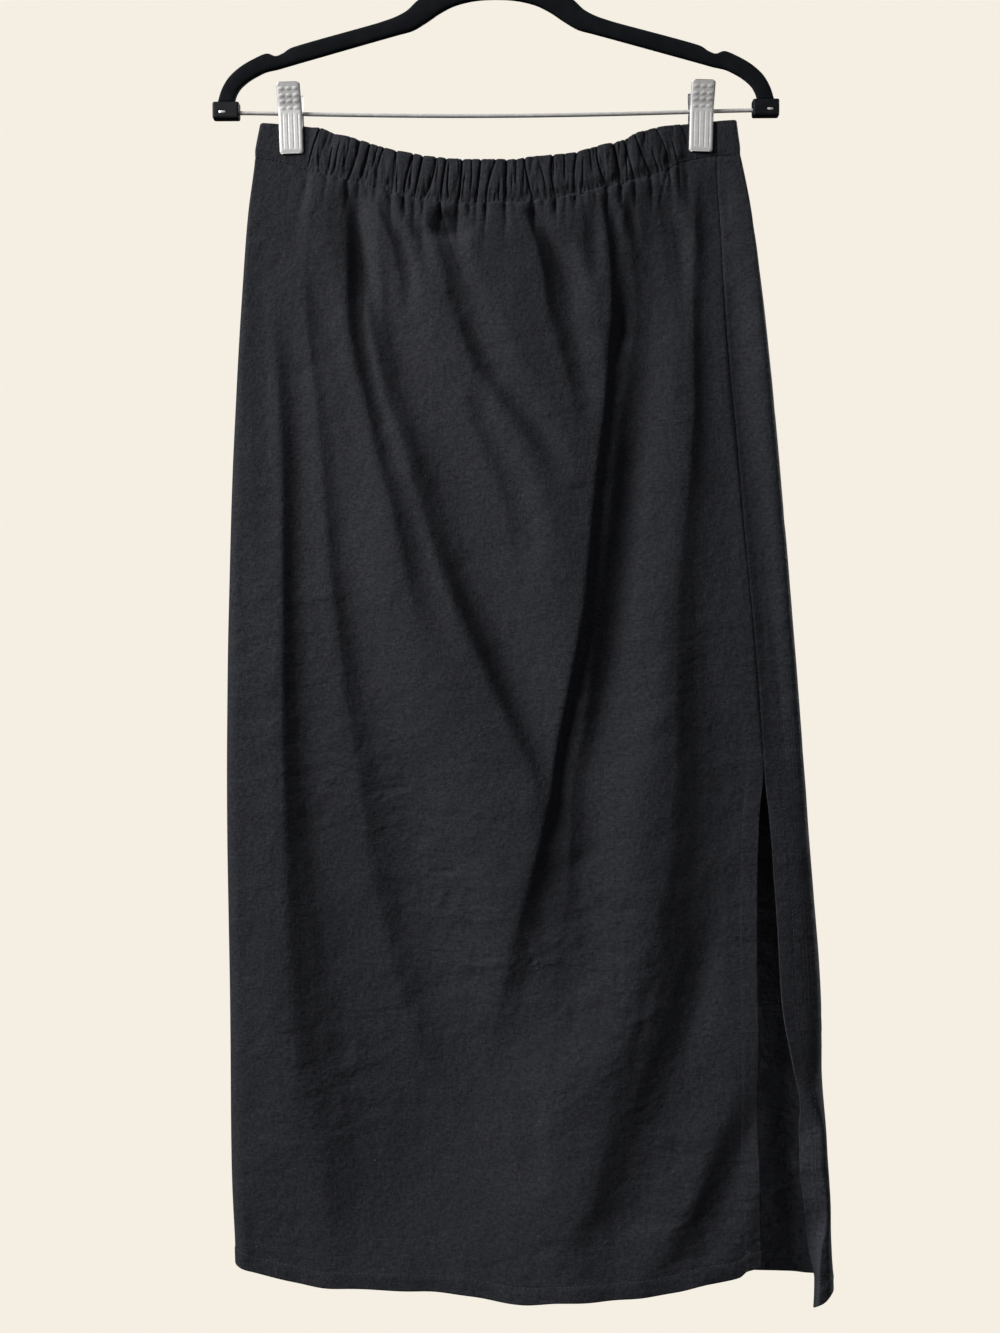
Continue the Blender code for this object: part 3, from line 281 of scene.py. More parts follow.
BACK_FOLDS = (
    (
        (-270, -128, 0, 7.6, 40), (-400, -120, 11, 9.3, 50), (-640, -103, 14.5, 11.9, 60),
        (-850, -78, 9.5, 15.3, 60), (-980, -58, 0, 17, 60),
    ),
    (
        (-290, -40, 0, 8, 25), (-420, -30, 8, 8.5, 35), (-600, -22, 9.5, 11.9, 40),
        (-770, -14, 0, 13.6, 40),
    ),
    (
        (-280, 62, 0, 7.6, 40), (-420, 59, 11, 10.2, 50), (-680, 52, 16, 15.3, 60),
        (-920, 34, 13, 22.1, 70), (-1090, 18, 0, 25.5, 70),
    ),
    (
        (-290, 152, 0, 7.6, 40), (-460, 150, 9.5, 9.3, 45), (-760, 142, 14.5, 15.3, 55),
        (-980, 126, 13, 22.1, 60), (-1100, 116, 0, 23.8, 60),
    ),
    ((-300, -164, 0, 8, 25), (-480, -160, 6.5, 8.5, 30), (-870, -146, 0, 11.9, 35)),
    ((-380, -98, 0, 6, 14), (-520, -80, 3.6, 8, 18), (-700, -50, 0, 7.6, 18)),
    ((-330, 18, 0, 6, 12), (-410, 13, 3.9, 7, 14), (-520, 8, 0, 8, 14)),
    ((-420, 96, 0, 8, 16), (-580, 86, 4.2, 7.6, 18), (-760, 66, 0, 7.6, 18)),
    ((-700, -120, 0, 7.6, 20), (-850, -108, 3.6, 10.2, 24), (-1010, -98, 0, 10.2, 24)),
    ((-310, -70, 0, 5, 10), (-345, -68, 3.9, 6, 12), (-400, -62, 0, 6, 12)),
    ((-820, 60, 0, 8.5, 20), (-930, 80, 3.3, 10.2, 24), (-1060, 104, 0, 10.2, 24)),
    ((-300, 118, 0, 5, 10), (-340, 115, 3.6, 6, 12), (-390, 110, 0, 6, 12)),
)

# A fold's profile: how deep it is by its distance from its line, in units of DROP_UNIT of its width.
DROP_COLUMNS = ("off", "depth")
DROP_ROWS = (
    (-1.5, 0), (-0.8, 0.06), (0, 0.42), (0.7, 0.72), (1.5, 0.88), (2.6, 0.97), (3.8, 1),
)
DROP_UNIT = 0.67
DROP_FLOOR = 1.4  # in the same units, where the cloth begins to come back

# Soft dents and, with a depth below 0, swells: where the cloth was pressed, sat on or folded.
DENT_COLUMNS = ("x", "z", "half_length", "half_width", "angle", "depth")
FRONT_DENTS = (
    (-10, -860, 85, 300, 0, 9), (-43, -306, 15, 5.5, -5, -3), (-42, -325, 16, 8, -5, 4.5),
    (-28, -866, 46, 3.5, 3, 1.1), (22, -656, 26, 3.5, -4, 0.9), (24, -764, 13, 9, 30, -2.2),
    (-20, -905, 40, 5, -8, 0.9), (64, -930, 34, 5, 12, 0.8), (-60, -985, 30, 5, -6, 0.7),
    (120, -792, 30, 6, 20, 0.8), (150, -1075, 26, 5, 38, 1), (-150, -1010, 40, 7, -80, 0.9),
)
BACK_DENTS = (
    (10, -700, 60, 6, 2, 1), (-40, -735, 52, 5, -5, 0.9), (60, -668, 44, 5, 6, 0.8),
    (-90, -900, 30, 6, 10, 0.8), (110, -960, 34, 6, -12, 0.8),
)

# Seeded faint creases, in the columns of the dents
CRUMPLE_X = (-205.0, 240.0)
CRUMPLE_Z = (-1110.0, -400.0)
CRUMPLE_LENGTHS = (9.0, 34.0)
CRUMPLE_WIDTHS = (3.0, 6.5)
CRUMPLE_ANGLES = 32.0
CRUMPLE_DEPTHS = (0.25, 0.85)
CRUMPLE_WAYS = (1.0, 1.0, -1.0)  # inwards, and a third of them outwards

# Shares along a panel and how many columns lie between them; then the rows, by their distance below
# the waist seam or above the hem.
FRONT_COLUMN_STEPS = ((0.0, 0), (0.01, 6), (0.026, 8), (0.06, 34), (0.968, 284), (1.0, 20))
BACK_COLUMN_STEPS = ((0.0, 0), (0.01, 8), (0.9, 224), (0.94, 10), (0.97, 28), (1.0, 24))
GATHER_ROWS = 38
GATHER_ROWS_TO = 62.0
BODY_ROWS = 128
HEM_ROWS = 13
HEM_ROWS_FROM = 15.6
PANEL_LENGTH = 856.0

# The panels' relief
FOLDS_GROW = (0.0, 13.0)  # below the waist seam
SWAY_COUNT = 7
SWAY_ACROSS = (45.0, 150.0)  # wave lengths
SWAY_DOWN = (160.0, 520.0)
SWAY_DRIFT = 1.3  # radians by which its waves wander down the skirt
SWAY_SIZE = 1.5
SWAY_GROWS = (10.0, 90.0)
SWAY_FROM_EDGE = (2.0, 45.0)
BEND = 5.0  # how far the gathers stray from straight lines
BEND_GROWS = (2.0, 40.0)
BEND_WAVES = (0.8, 2.2)  # times as many waves as the sway, along the panel and down it
FOLD_CORNER = 0.2  # how much squarer than round the right fold is in front, as a share of its radius
CORNER_FACES = -0.7  # the outward direction's y there
CORNER_FACES_HALF = 0.3
CORNER_FROM_X = (150.0, 175.0)
CORNER_ABOVE_Z = (-1010.0, -930.0)

# How the waist seam pulls the gathers in.
SEAM_TUCK_UP = 0.8  # how far the panels reach up under the casing
SEAM_TUCK_IN = 0.7
SEAM_TUCK_ENDS = (0.0, 2.4)
SEAM_PULL = 0.5  # share of the gathers' height that is left at the stitches
SEAM_PULL_ENDS = (0.0, 5.0)
SEAM_STITCHES = (2.4, 5.6)  # uneven distances between the places that they pull in
SEAM_STITCHES_LEAST = 2.6  # the run divided by this gives enough of them
PUFF_SIZES = (0.2, 2.4)
PUFF_FROM_ENDS = (30.0, 75.0)
PUFF_AT_ENDS = 0.15  # share of its size that a puff keeps at a panel's ends
PUFF_POWER = 0.6
PUFF_BELOW = 1.9
PUFF_HALF = 1.5
PUCKER_SPACING = 8.5
PUCKER_STEPS = (0.4, 1.9)  # shares of that spacing
PUCKER_SLANT = 0.22
PUCKER_DEPTHS = (0.3, 2.2)
PUCKER_REACHES = (4.0, 6.0, 9.0, 14.0, 30.0)
PUCKER_REACH_VARIES = (0.8, 1.2)
PUCKER_WIDTHS = (0.7, 1.9)

# Hem, side seams and the slit's facings. A turned edge is a step over the layer beneath it, which
# ends a little beyond its stitches, and a groove where they hold it down.
HEM_TURN = 12.0
FACING = 12.0
TURNED_COLUMNS = ("width", "step", "beyond", "softness", "groove")
HEM_EDGE = dict(zip(TURNED_COLUMNS, (HEM_TURN, 0.45, 1.6, 1.4, 0.5)))
FACING_EDGE = dict(zip(TURNED_COLUMNS, (FACING, 0.25, 1.2, 1.2, 0.3)))
GROOVE_HALF = 0.8
FACING_GROWS = (0.0, 12.0)  # below the slit's top
HEM_WAVE = 1.6
HEM_WAVE_TO = 36.0  # above the hem
HEM_WAVES = (2.3, 1.0)
LEFT_SEAM_SINKS = 0.7
RIGHT_SEAM_SINKS = 0.5
HEM_LAYER = 0.7  # how much thicker the cloth is where it is turned under
LAYER_EDGE = (-0.4, 0.4)
LAYER_BELOW_SLIT = (0.0, 4.0)

# The back panel's free edge
FLAP_NEAR = 70.0  # the right side fold lies no further than this from the free edge
FLAP_STRIP = 16.0
FLAP_GROWS = (970.0, 1016.0)  # below the hanger's zero, where the strip grows to its full width
FLAP_FOLDS = (970.0, 1026.0)  # where the fold beside it grows squarer
FLAP_TURNS = (1066.0, 1130.0)  # and where the strip turns edge-on
FLAP_OPEN = 160.0  # plan direction of the strip beyond the flap's crease, in degrees
FLAP_TURNED = 88.0
FLAP_SQUARE = 0.72  # below 1 the fold between the side and the crease is squarer than round
FLAP_CREASE_IN = 1.5
FLAP_COLUMNS_LEAST = 4
FLAP_CREASE_COLUMNS = ("below", "x")
FLAP_CREASE_ROWS = (
    (970, 236), (1000, 241), (1016, 243.3), (1040, 243.3), (1069, 247), (1085, 247.6), (1100, 244.9),
    (1111, 242.6), (1138, 241), (1160, 239.5),
)

# The casing. Rises are shares of its height, from its seam to its top.
BAND_COLUMNS = 1100
BAND_HALF = 1.45  # its half thickness
BAND_FOOT = 0.35  # thickness at the seam, as a share of the casing's
BAND_FOOT_TO = (0.0, 0.3)
BAND_FULLNESS = 1.35  # as the panels'
BAND_CASING = 0.031  # its height in metres of cloth, for its weave
BAND_FACE_RISES = (
    0.0, 0.03, 0.07, 0.12, 0.18, 0.25, 0.32, 0.4, 0.48, 0.56, 0.64, 0.72, 0.79, 0.86, 0.92, 0.97, 1.0,
)
BAND_TOP_ANGLES = (25.0, 50.0, 72.0, 90.0, 108.0, 130.0, 155.0, 180.0)
BAND_TOP_OVER = 0.9  # how round the folded top is, as a share of the half thickness
BAND_TOP_TEETH = 0.3
BAND_TEETH_GROW = (0.6, 1.0)
BAND_TEETH_OVER = 0.8  # share of the ridges over which the top's teeth stand
BAND_LOWER = 0.2  # how far the seam's edge lies below the waist seam
BAND_END_TUCK = 0.9
RIDGE_LOWER = 0.8  # the casing's ridges stand this much below the solids'
RIDGE_SWAY = 1.3
RIDGE_WAVES = 3.1  # times as many along the casing as along a panel
RIDGE_WAVE_RISE = 60.0  # millimetres of sway from its seam to its top
RIDGE_LEAST = 0.6
BAND_PUFF = 0.09  # how high a puff stands, as a share of its width
BAND_PUFF_MOST = 1.5
BAND_PUFF_SIZES = (0.2, 1.5)
BAND_PUFF_POWER = 0.8
BAND_PUFF_MIDDLE = 0.6
BAND_SEAM_PULL = 0.5
BAND_SEAM_PULL_ENDS = (0.0, 0.3)
BAND_TOP_PULL = 0.25
BAND_TOP_PULL_FROM = (0.78, 1.0)
BAND_FOOT_IN = 0.2
BAND_FOOT_ENDS = (0.0, 0.16)
BAND_STITCH_DROP = 0.9  # how far the seam's edge bows down between two stitches
BAND_STITCH_SWELL = 0.55
BAND_STITCH_ENDS = (0.0, 0.12)
BAND_SWELL_GROWS = (0.0, 0.1)
BAND_STITCH_SIZES = (0.3, 1.8)
BAND_STITCH_FLAT = 0.2  # share of the bow that is left beyond the gathers
BAND_INNER_RIDGE = 1.15  # the casing's back follows its ridges and, the other way, its creases
BAND_INNER_CREASE = 0.4

# Its creases and wrinkles
BAND_WHOLE = 2.5  # a crease less deep than this doesn't run the whole height
BELOW_BAND = -1.0  # rises outside the casing, for creases that run off it
ABOVE_BAND = 2.0
BAND_FROM_SEAM = 0.6  # share of the short creases that start at the seam
MAIN_CREASE_ENDS = ((0.45, 0.85), (0.2, 0.5))
LESS_CREASE_ENDS = ((0.35, 0.9), (0.1, 0.5))
MAIN_CREASE_BOW = 1.3
MAIN_CREASE_WIDTHS = (0.38, 0.75)
MAIN_CREASE_DEPTHS = (0.7, 1.15)  # shares of the gathers' depths
LESS_CREASE_PLACES = (0.3, 0.7)  # shares of the way between two main ones
LESS_CREASE_LEAN = 2.2
LESS_CREASE_BOW = 1.2
LESS_CREASE_DEPTHS = (1.0, 2.6)
LESS_CREASE_WIDTH = 0.5
CREASE_STARTS = 0.12  # how softly a short crease begins and ends
CREASE_STOPS = 0.15
BAND_WIDE_PUFF = 8.0  # a wider puff than this has a lesser crease in it
BAND_WRINKLES = 170
WRINKLE_RISES = ((-0.05, 0.3), (0.1, 1.0))
WRINKLE_SLANT = 5.0
WRINKLE_DEPTHS = (0.25, 1.3)
WRINKLE_WAYS = (1.0, 1.0, -0.6)  # inwards, and a third of them outwards and less high
WRINKLE_WIDTHS = (0.5, 1.6)
WRINKLE_HALVES = (0.1, 0.34)

# Stitches
STITCH = 2.3
STITCH_GAP = 0.8
THREAD = 0.16  # radius
STITCH_ROUND = 6
# Along a stitch, its rise and its thickness, in shares of its length and of its thread
STITCH_PROFILE = (
    (-0.5, -0.5, 0.35), (-0.38, 0.35, 0.9), (0.0, 0.8, 1.0), (0.38, 0.35, 0.9), (0.5, -0.5, 0.35),
)
SLIT_STITCHES_BELOW = 4.0
SLIT_STITCHES_ABOVE_HEM = 1.0

# Hanger
BAR_RADIUS = 1.5
BAR_HALF = 217.5
BAR_Z = -225.3
BAR_END = ((7.5, 0.0), (6.2, 1.1), (5.2, 1.9), (3.0, 2.0), (0.0, 2.0))  # back from its end, and forward
BAR_SAG = 3.2
BAR_SAG_HALF = 198.0
BAR_SAG_POWER = 1.3
BAR_POINTS = 81
BAR_ROUND = 16
HOOK_WIRE = 1.75  # radius
HOOK_INNER = 21.0  # radius inside the crook
HOOK_SOCKET = 8.7  # how deep the neck goes into the hump
HOOK_JOIN_ANGLE = -38.0  # degrees round the crook from +X, where the neck joins it
HOOK_TIP_ANGLE = 196.0
HOOK_NECK_TOP = -64.0
HOOK_SWING = 0.9  # how far the neck's curve holds its direction, as a share of its length
HOOK_POINTS = (12, 18, 60)  # up the neck, out to the side and round the crook
HOOK_ROUND = 20
CAP_TOP = -217.1
HUMP_TOP = -121.0

# Half of the hanger's arms from the middle outwards: the two edges, and the depth front to back.
ARM_COLUMNS = ("upper_x", "upper_z", "lower_x", "lower_z", "depth")
ARM = (
    (0, HUMP_TOP, 0, -136.6, 8), (9, HUMP_TOP - 0.2, 8, -136.9, 8), (20, -122, 17, -138, 6.4),
    (38, -125.5, 31, -141.5, 5.6), (52, -131.5, 43, -147.4, 5.6), (61.6, -138.2, 54.6, -155.2, 5.6),
    (70, -146, 65.7, -161.4, 5.6), (79, -150.8, 76, -164.2, 5.6), (91, -155, 88, -167.5, 5.6),
    (161.6, -175, 158, -187.2, 5.6), (167.5, -179, 165, -189.2, 5.6), (173, -180.9, 171, -190.9, 5.6),
    (179.5, -178.9, 180, -193, 5.6), (192, -184, 187, -196.2, 5.6), (203, -191, 194.5, -200.8, 5.6),
    (211, -199.1, 201.1, -207, 5.6), (216, -208.5, 204, -212.5, 5.6),
    (218.5, CAP_TOP + GAP, 205.2, CAP_TOP + GAP, 5.6),
)
ARM_STATIONS = 150
ARM_ROUND = 28
ARM_SQUARE_UP = 0.8  # below 1 the arm's section is squarer than an oval, up and down
ARM_SQUARE_DEEP = 0.55  # and front to back

# Clips. The jaws' profile is their middle line, from the handle down to the grip.
CLIP_X = 161.0
CLIP_TILT = 1.6  # degrees, feet inwards
CLIP_WIDTH = 18.6
CLIP_CORNER = 1.7
JAW_COLUMNS = ("z", "y")
JAW = (
    (-206.8, 12.4), (-215.5, 9.2), (-226, 5.5), (-233, 5.1), (-247, 5), (-255.5, 4.7), (-259, 4.05),
)
JAW_WALL = 1.0
JAW_ROWS = 110
JAW_ACROSS = 45
JAW_FLANGE_POWER = 14
JAW_FLANGE = 1.1  # how far the sides are bent in on the outer side, and on the inner one
JAW_FLANGE_INNER = 1.4
JAW_INNER_RELIEF = 0.8  # share of the stamped relief that shows inside
CLIP_PADS_X = (-5.4, 0.0, 5.4)
CLIP_PADS_Z = (-211.4, -216.0, -219.9, -224.4)
CLIP_PAD_HALF = (2.2, 1.35)
CLIP_PAD_EDGE = (0.45, 1.15)
CLIP_PAD_HEIGHT = 0.34
CLIP_GROOVES_X = (-5.9, -1.9, 2.4, 6.2)
CLIP_GROOVE_TOP = -228.5
CLIP_GROOVE_FOOT = -255.5
CLIP_GROOVE_END = 0.8
CLIP_GROOVE_HALF = 0.62
CLIP_GROOVE_EDGE = (0.2, 1.1)
CLIP_GROOVE_DEPTH = 0.26
BAR_AT_CLIP = -226.2
SPRING_LENGTH = 12.0
SPRING_WIRE = 0.6
SPRING_COIL = 3.7
SPRING_TURNS = 7
SPRING_STEPS = 24  # to a turn
SPRING_ROUND = 10
TUBE_START = (0.0, 1.0, 0.3)  # any direction that no wire starts along

# Studio, in metres
BACKDROP = (0.914, 0.863, 0.768)
FILL_COLOUR = (1.0, 0.985, 0.96)
FILL_STRENGTH = 0.075
FLOOR_Z = -1950.0  # this and the floor's half width are in millimetres
FLOOR_HALF = 2500.0
LIGHT_COLUMNS = ("name", "place", "target", "size", "power", "colour")
LIGHTS = (
    ("key", (-2.4, -1.4, 0.9), (0.0, 0.0, -0.6), 1.4, 219.0, (1.0, 0.985, 0.965)),
    ("fill", (1.9, -1.6, -0.2), (0.0, 0.0, -0.7), 1.6, 7.0, (0.97, 0.985, 1.0)),
    ("back", (2.5, 1.4, 0.9), (0.0, 0.0, -0.6), 1.0, 215.0, (1.0, 0.99, 0.98)),
)
INNER_LIGHT = (0.06, 0.0, -1.04)
INNER_LIGHT_FACES = (1.0, 0.05, 0.0)
INNER_LIGHT_SIZE = (0.22, 0.012)
INNER_POWER = 0.42
CAMERA_PLACE = (0.0007, -0.94, -0.6613)
CAMERA_ROLL = -0.0056  # radians
HALF_VIEW = 0.5239  # half the height that it sees at the skirt's plane


# ---------------------------------------------------------------- tables

def columns(names, rows):
    """The columns of a table, by name."""
    return dict(zip(names, np.array(rows, float).T))


def curve(start, end, out, into, f):
    """From start (f is 0) to end (f is 1), leaving along out and arriving along into."""
    return (
        start * (1 + 2 * f) * (1 - f) ** 2
        + end * (3 - 2 * f) * f**2
        + out * f * (1 - f) ** 2
        - into * f**2 * (1 - f)
    )


def smooth(x, knots, values):
    """A curve through a table's rows with no overshoot, level beyond its ends."""
    x = np.clip(x, knots[0], knots[-1])
    step = np.diff(knots)
    slope = np.diff(values) / step
    tangent = np.zeros(len(knots))
    same_way = slope[:-1] * slope[1:] > 0
    total = np.where(same_way, slope[:-1] + slope[1:], 1.0)
    tangent[1:-1] = np.where(same_way, 2 * slope[:-1] * slope[1:] / total, 0.0)
    tangent[0] = slope[0]
    tangent[-1] = slope[-1]
    i = np.clip(np.searchsorted(knots, x, side="right") - 1, 0, len(knots) - 2)
    f = (x - knots[i]) / step[i]
    return curve(values[i], values[i + 1], step[i] * tangent[i], step[i] * tangent[i + 1], f)


def ease(x, start, end):
    """0 before start, 1 after end and a soft rise between them."""
    f = np.clip((x - start) / (end - start), 0.0, 1.0)
    return f * f * (3 - 2 * f)


DROP = columns(DROP_COLUMNS, DROP_ROWS)
SECTION = columns(SECTION_COLUMNS, SECTIONS)
SLIT_EDGE = columns(SLIT_COLUMNS, SLIT)
WAIST_EDGE = columns(WAIST_COLUMNS, WAIST)
HEM_F = columns(FRONT_HEM_COLUMNS, FRONT_HEM)
HEM_B = columns(BACK_HEM_COLUMNS, BACK_HEM)
FLAP_CREASE = columns(FLAP_CREASE_COLUMNS, FLAP_CREASE_ROWS)


# ---------------------------------------------------------------- the cloth's surface

def level_of(z):
    return (WAIST_Z - z) / LEVEL_HEIGHT


def slit_top_z():
    return WAIST_Z - SLIT_TOP * LEVEL_HEIGHT


def at_level(table, name, level):
    """A column of a table, at a level on or between its rows."""
    return float(smooth(np.array([level]), table["level"], table[name])[0])


def section_at(level):
    """The row of SECTIONS at any level, by column name."""
    return {name: at_level(SECTION, name, level) for name in SECTION_COLUMNS[1:]}


def half_section(row, side):
    """Points across one face of the skirt, left fold to right. side is -1 for the front, 1 for the back."""
    left, right = row["left"], row["right"]
    turn = np.linspace(0, math.pi / 2, FOLD_POINTS)
    left_x = left + row["round_left"] * (1 - np.cos(turn))
    right_x = right - row["round_right"] * (1 - np.cos(turn[::-1]))
    flat_x = np.linspace(left_x[-1], right_x[0], SECTION_POINTS)[1:-1]
    x = np.concatenate([left_x, flat_x, right_x])
    middle = (left + right) / 2
    q = (x - middle) / ((right - left) / 2)
    mix = ease(q, *ROUNDING_MIX)
    stand = row["round_left"] * (1 - mix) + row["round_right"] * mix
    stand[: len(turn)] = row["round_left"] * np.sin(turn)
    stand[-len(turn):] = row["round_right"] * np.sin(turn[::-1])
    belly = row["front_belly"] if side < 0 else row["back_belly"]
    bulge = np.clip(1 - (q / row["span"]) ** 2, 0, 1) ** BELLY_POWER
    y = side * (stand + belly * bulge) + row["lean"] * ease(q, *LEAN_GROWS)
    return np.stack([x, y], 1)


def cut_from(points, x):
    """The part of a left-to-right line that lies right of x."""
    y = np.interp(x, points[:, 0], points[:, 1])
    return np.vstack([[x, y], points[points[:, 0] > x + 1e-6]])


def cut_to(points, x):
    """The part of a left-to-right line that lies left of x."""
    y = np.interp(x, points[:, 0], points[:, 1])
    return np.vstack([points[points[:, 0] < x - 1e-6], [x, y]])


def front_path(level):
    """The front panel's line in plan: from the left seam, round the left fold, to the right seam."""
    row = section_at(level)
    behind = cut_to(half_section(row, 1), row["left"] + LEFT_SEAM_INSET)
    before = cut_to(half_section(row, -1), at_level(SLIT_EDGE, "front_edge", level))
    return np.vstack([behind[::-1], before[1:]])


def back_path(level):
    """The back panel's line in plan: from the left seam, across the back, round the right fold."""
    row = section_at(level)
    behind = cut_from(half_section(row, 1), row["left"] + LEFT_SEAM_INSET)
    before = cut_from(half_section(row, -1), at_level(SLIT_EDGE, "back_edge", level))
    return np.vstack([behind, before[::-1][1:]])


def runs_along(line):
    """The distance along a line to each of its points."""
    return np.concatenate([[0], np.cumsum(np.linalg.norm(np.diff(line, axis=0), axis=1))])


class Cloth:
    """One panel's surface: a point for each share of the way along it and each height."""

    LEVELS = np.linspace(SECTIONS[0][0], SECTIONS[-1][0] + 0.02, LEVEL_COUNT)
    SHARES = np.linspace(0, 1, SHARE_COUNT)

    def __init__(self, path, outward):
        self.outward = outward
        self.plan = np.empty((len(self.LEVELS), len(self.SHARES), 2))
        for i, level in enumerate(self.LEVELS):
            line = path(level)
            run = runs_along(line)
            for axis in (0, 1):
                self.plan[i, :, axis] = np.interp(self.SHARES * run[-1], run, line[:, axis])
        self.run = runs_along(self.plan[int(np.argmin(np.abs(self.LEVELS)))])[-1]  # along the waist
        self.limits = (  # shares between which the waist is gathered
            self.share_at(-GATHER_LIMIT, GATHER_LIMIT_Z),
            self.share_at(GATHER_LIMIT, GATHER_LIMIT_Z),
        )

    def at(self, share, z):
        """Plan position (..., 2) at these shares and heights."""
        level = np.clip(level_of(z), self.LEVELS[0], self.LEVELS[-1])
        i = (level - self.LEVELS[0]) / (self.LEVELS[1] - self.LEVELS[0])
        j = np.clip(share, 0, 1) * (len(self.SHARES) - 1)
        i0 = np.clip(i.astype(int), 0, len(self.LEVELS) - 2)
        j0 = np.clip(j.astype(int), 0, len(self.SHARES) - 2)
        fi = (i - i0)[..., None]
        fj = (j - j0)[..., None]
        upper = self.plan[i0, j0] * (1 - fj) + self.plan[i0, j0 + 1] * fj
        lower = self.plan[i0 + 1, j0] * (1 - fj) + self.plan[i0 + 1, j0 + 1] * fj
        return upper * (1 - fi) + lower * fi

    def normal(self, share, z):
        """Outward direction in plan."""
        ahead = self.at(np.minimum(share + NORMAL_STEP, 1), z)
        behind = self.at(np.maximum(share - NORMAL_STEP, 0), z)
        along = ahead - behind
        along /= np.linalg.norm(along, axis=-1, keepdims=True)
        return self.outward * np.stack([-along[..., 1], along[..., 0]], -1)

    def share_at(self, x, z):
        """The share at which the panel passes x at height z, on its way from left to right."""
        level = int(round((level_of(z) - self.LEVELS[0]) / (self.LEVELS[1] - self.LEVELS[0])))
        line = self.plan[max(level, 0)]
        across = np.gradient(line[:, 0]) > 0
        return float(np.interp(x, line[across, 0], self.SHARES[across]))

    def x_along(self, shares, z):
        return self.at(shares, np.full(len(shares), z))[:, 0]

    def gathered(self, share):
        """1 where the waist is gathered, and 0 where the clips hold it flat."""
        first, last = self.limits
        window = ease(share, first, first + GATHER_LIMIT_FADE)
        return window * (1 - ease(share, last - GATHER_LIMIT_FADE, last))


def folds_at(x, z, folds, way):
    """How far the folds move the cloth outwards. Each drops steeply on one side and comes back slowly.

    way is 1 where it comes back towards +X, and -1 towards -X."""
    lift = np.zeros_like(x)
    for rows in folds:
        line = columns(LINE_COLUMNS, rows)
        at = {name: smooth(-z, -line["z"], line[name]) for name in LINE_COLUMNS[1:]}
        inside = (z < line["z"][0]) & (z > line["z"][-1])
        unit = at["width"] * DROP_UNIT
        off = way * (x - at["x"])
        up = (off - DROP_FLOOR * unit) / at["back"]
        profile = smooth(off / unit, DROP["off"], DROP["depth"]) * (1 - ease(up, 0.0, 1.0))
        lift -= np.where(inside, at["depth"], 0.0) * profile
    return lift


def gathers_at(cloth, share, below, creases):
    """Height of the gathers. below is the distance under the waist seam, 0 on the band."""
    height = RIDGE_HEIGHT * cloth.gathered(share) * np.exp(-((below / GATHER_FADE) ** 2))
    for place, depth, reach, width in creases:
        height = height - depth * np.exp(-np.abs(share - place) / width - (below / reach) ** 2)
    return np.maximum(height, -RIDGE_HEIGHT * ease(below, 0.0, CREASE_FADE))


def surface_normals(points):
    """Unit normals of a grid of points, rows down and columns along."""
    along = np.gradient(points, axis=1)
    down = np.gradient(points, axis=0)
    normal = np.cross(along, down)
    return normal / np.linalg.norm(normal, axis=-1, keepdims=True)


def back_gathers():
    """Creases of the back, unevenly spaced like the front's: rows as in FRONT_GATHERS."""
    rows = []
    for i in range(BACK_GATHER_COUNT):
        across = 2 * (i + 0.5) / BACK_GATHER_COUNT - 1
        uneven = 2.4 * math.sin(2.1 * i) + 1.5 * math.sin(5.3 * i + 1.0)
        seam_x = across * BACK_GATHER_LIMIT + uneven
        depth = 2.9 + 0.9 * math.sin(3.7 * i + 0.4)
        reach = 30.0 + 22.0 * math.sin(2.9 * i + 2.0)
        rows.append((seam_x - BACK_LEAN * across, seam_x, depth, reach))
    return rows


def seam_height(x):
    return smooth(x, WAIST_EDGE["x"], WAIST_EDGE["seam"])


def top_height(x):
    return smooth(x, WAIST_EDGE["x"], WAIST_EDGE["top"])


def crease_shares(cloth, rows):
    """For each crease: its share at the band's top, its share at the seam, its depth and its reach."""
    found = []
    for top_x, seam_x, depth, reach in rows:
        at_top = cloth.share_at(top_x, float(top_height(top_x)))
        at_seam = cloth.share_at(seam_x, float(seam_height(seam_x)))
        found.append((at_top, at_seam, depth, min(reach, GATHER_REACH_MOST)))
    return found


def seam_creases(cloth, rows):
    """Place, depth, reach and width of the creases at the waist seam."""
    width = CREASE_WIDTH / cloth.run
    return [(at_seam, depth, reach, width) for _, at_seam, depth, reach in crease_shares(cloth, rows)]


def front_hem_of(cloth, share):
    return smooth(cloth.x_along(share, FRONT_HEM_Z), HEM_F["x"], HEM_F["z"])


def back_hem_of(_, share):
    return smooth(share, HEM_B["share"], HEM_B["z"])


# ---------------------------------------------------------------- the cloth's finer relief

def shares_from(steps):
    """A row of shares from (share, columns since the last one)."""
    shares = [0.0]
    for (start, _), (end, count) in zip(steps, steps[1:]):
        shares += list(np.linspace(start, end, count + 1)[1:])
    return np.array(shares)


def panel_rows():
    """Distances below the waist seam on a panel of the middle length, close together at both ends."""
    gathered = np.linspace(0.0, GATHER_ROWS_TO, GATHER_ROWS)
    body = np.linspace(GATHER_ROWS_TO, PANEL_LENGTH - HEM_ROWS_FROM, BODY_ROWS)[1:]
    hem = np.linspace(PANEL_LENGTH - HEM_ROWS_FROM, PANEL_LENGTH, HEM_ROWS + 1)[1:]
    return np.concatenate([gathered, body, hem])


def sway(across, z, seed, size):
    """A slow unevenness of the cloth, longer down the skirt than across it."""
    rng = np.random.default_rng(seed)
    lift = np.zeros_like(z)
    for _ in range(SWAY_COUNT):
        wide = rng.uniform(*SWAY_ACROSS)
        long = rng.uniform(*SWAY_DOWN)
        start = rng.uniform(0, 2 * math.pi, 2)
        phase = 2 * math.pi * across / wide + start[0]
        lift += np.cos(phase + SWAY_DRIFT * np.sin(2 * math.pi * z / long + start[1]))
    return lift * size / SWAY_COUNT


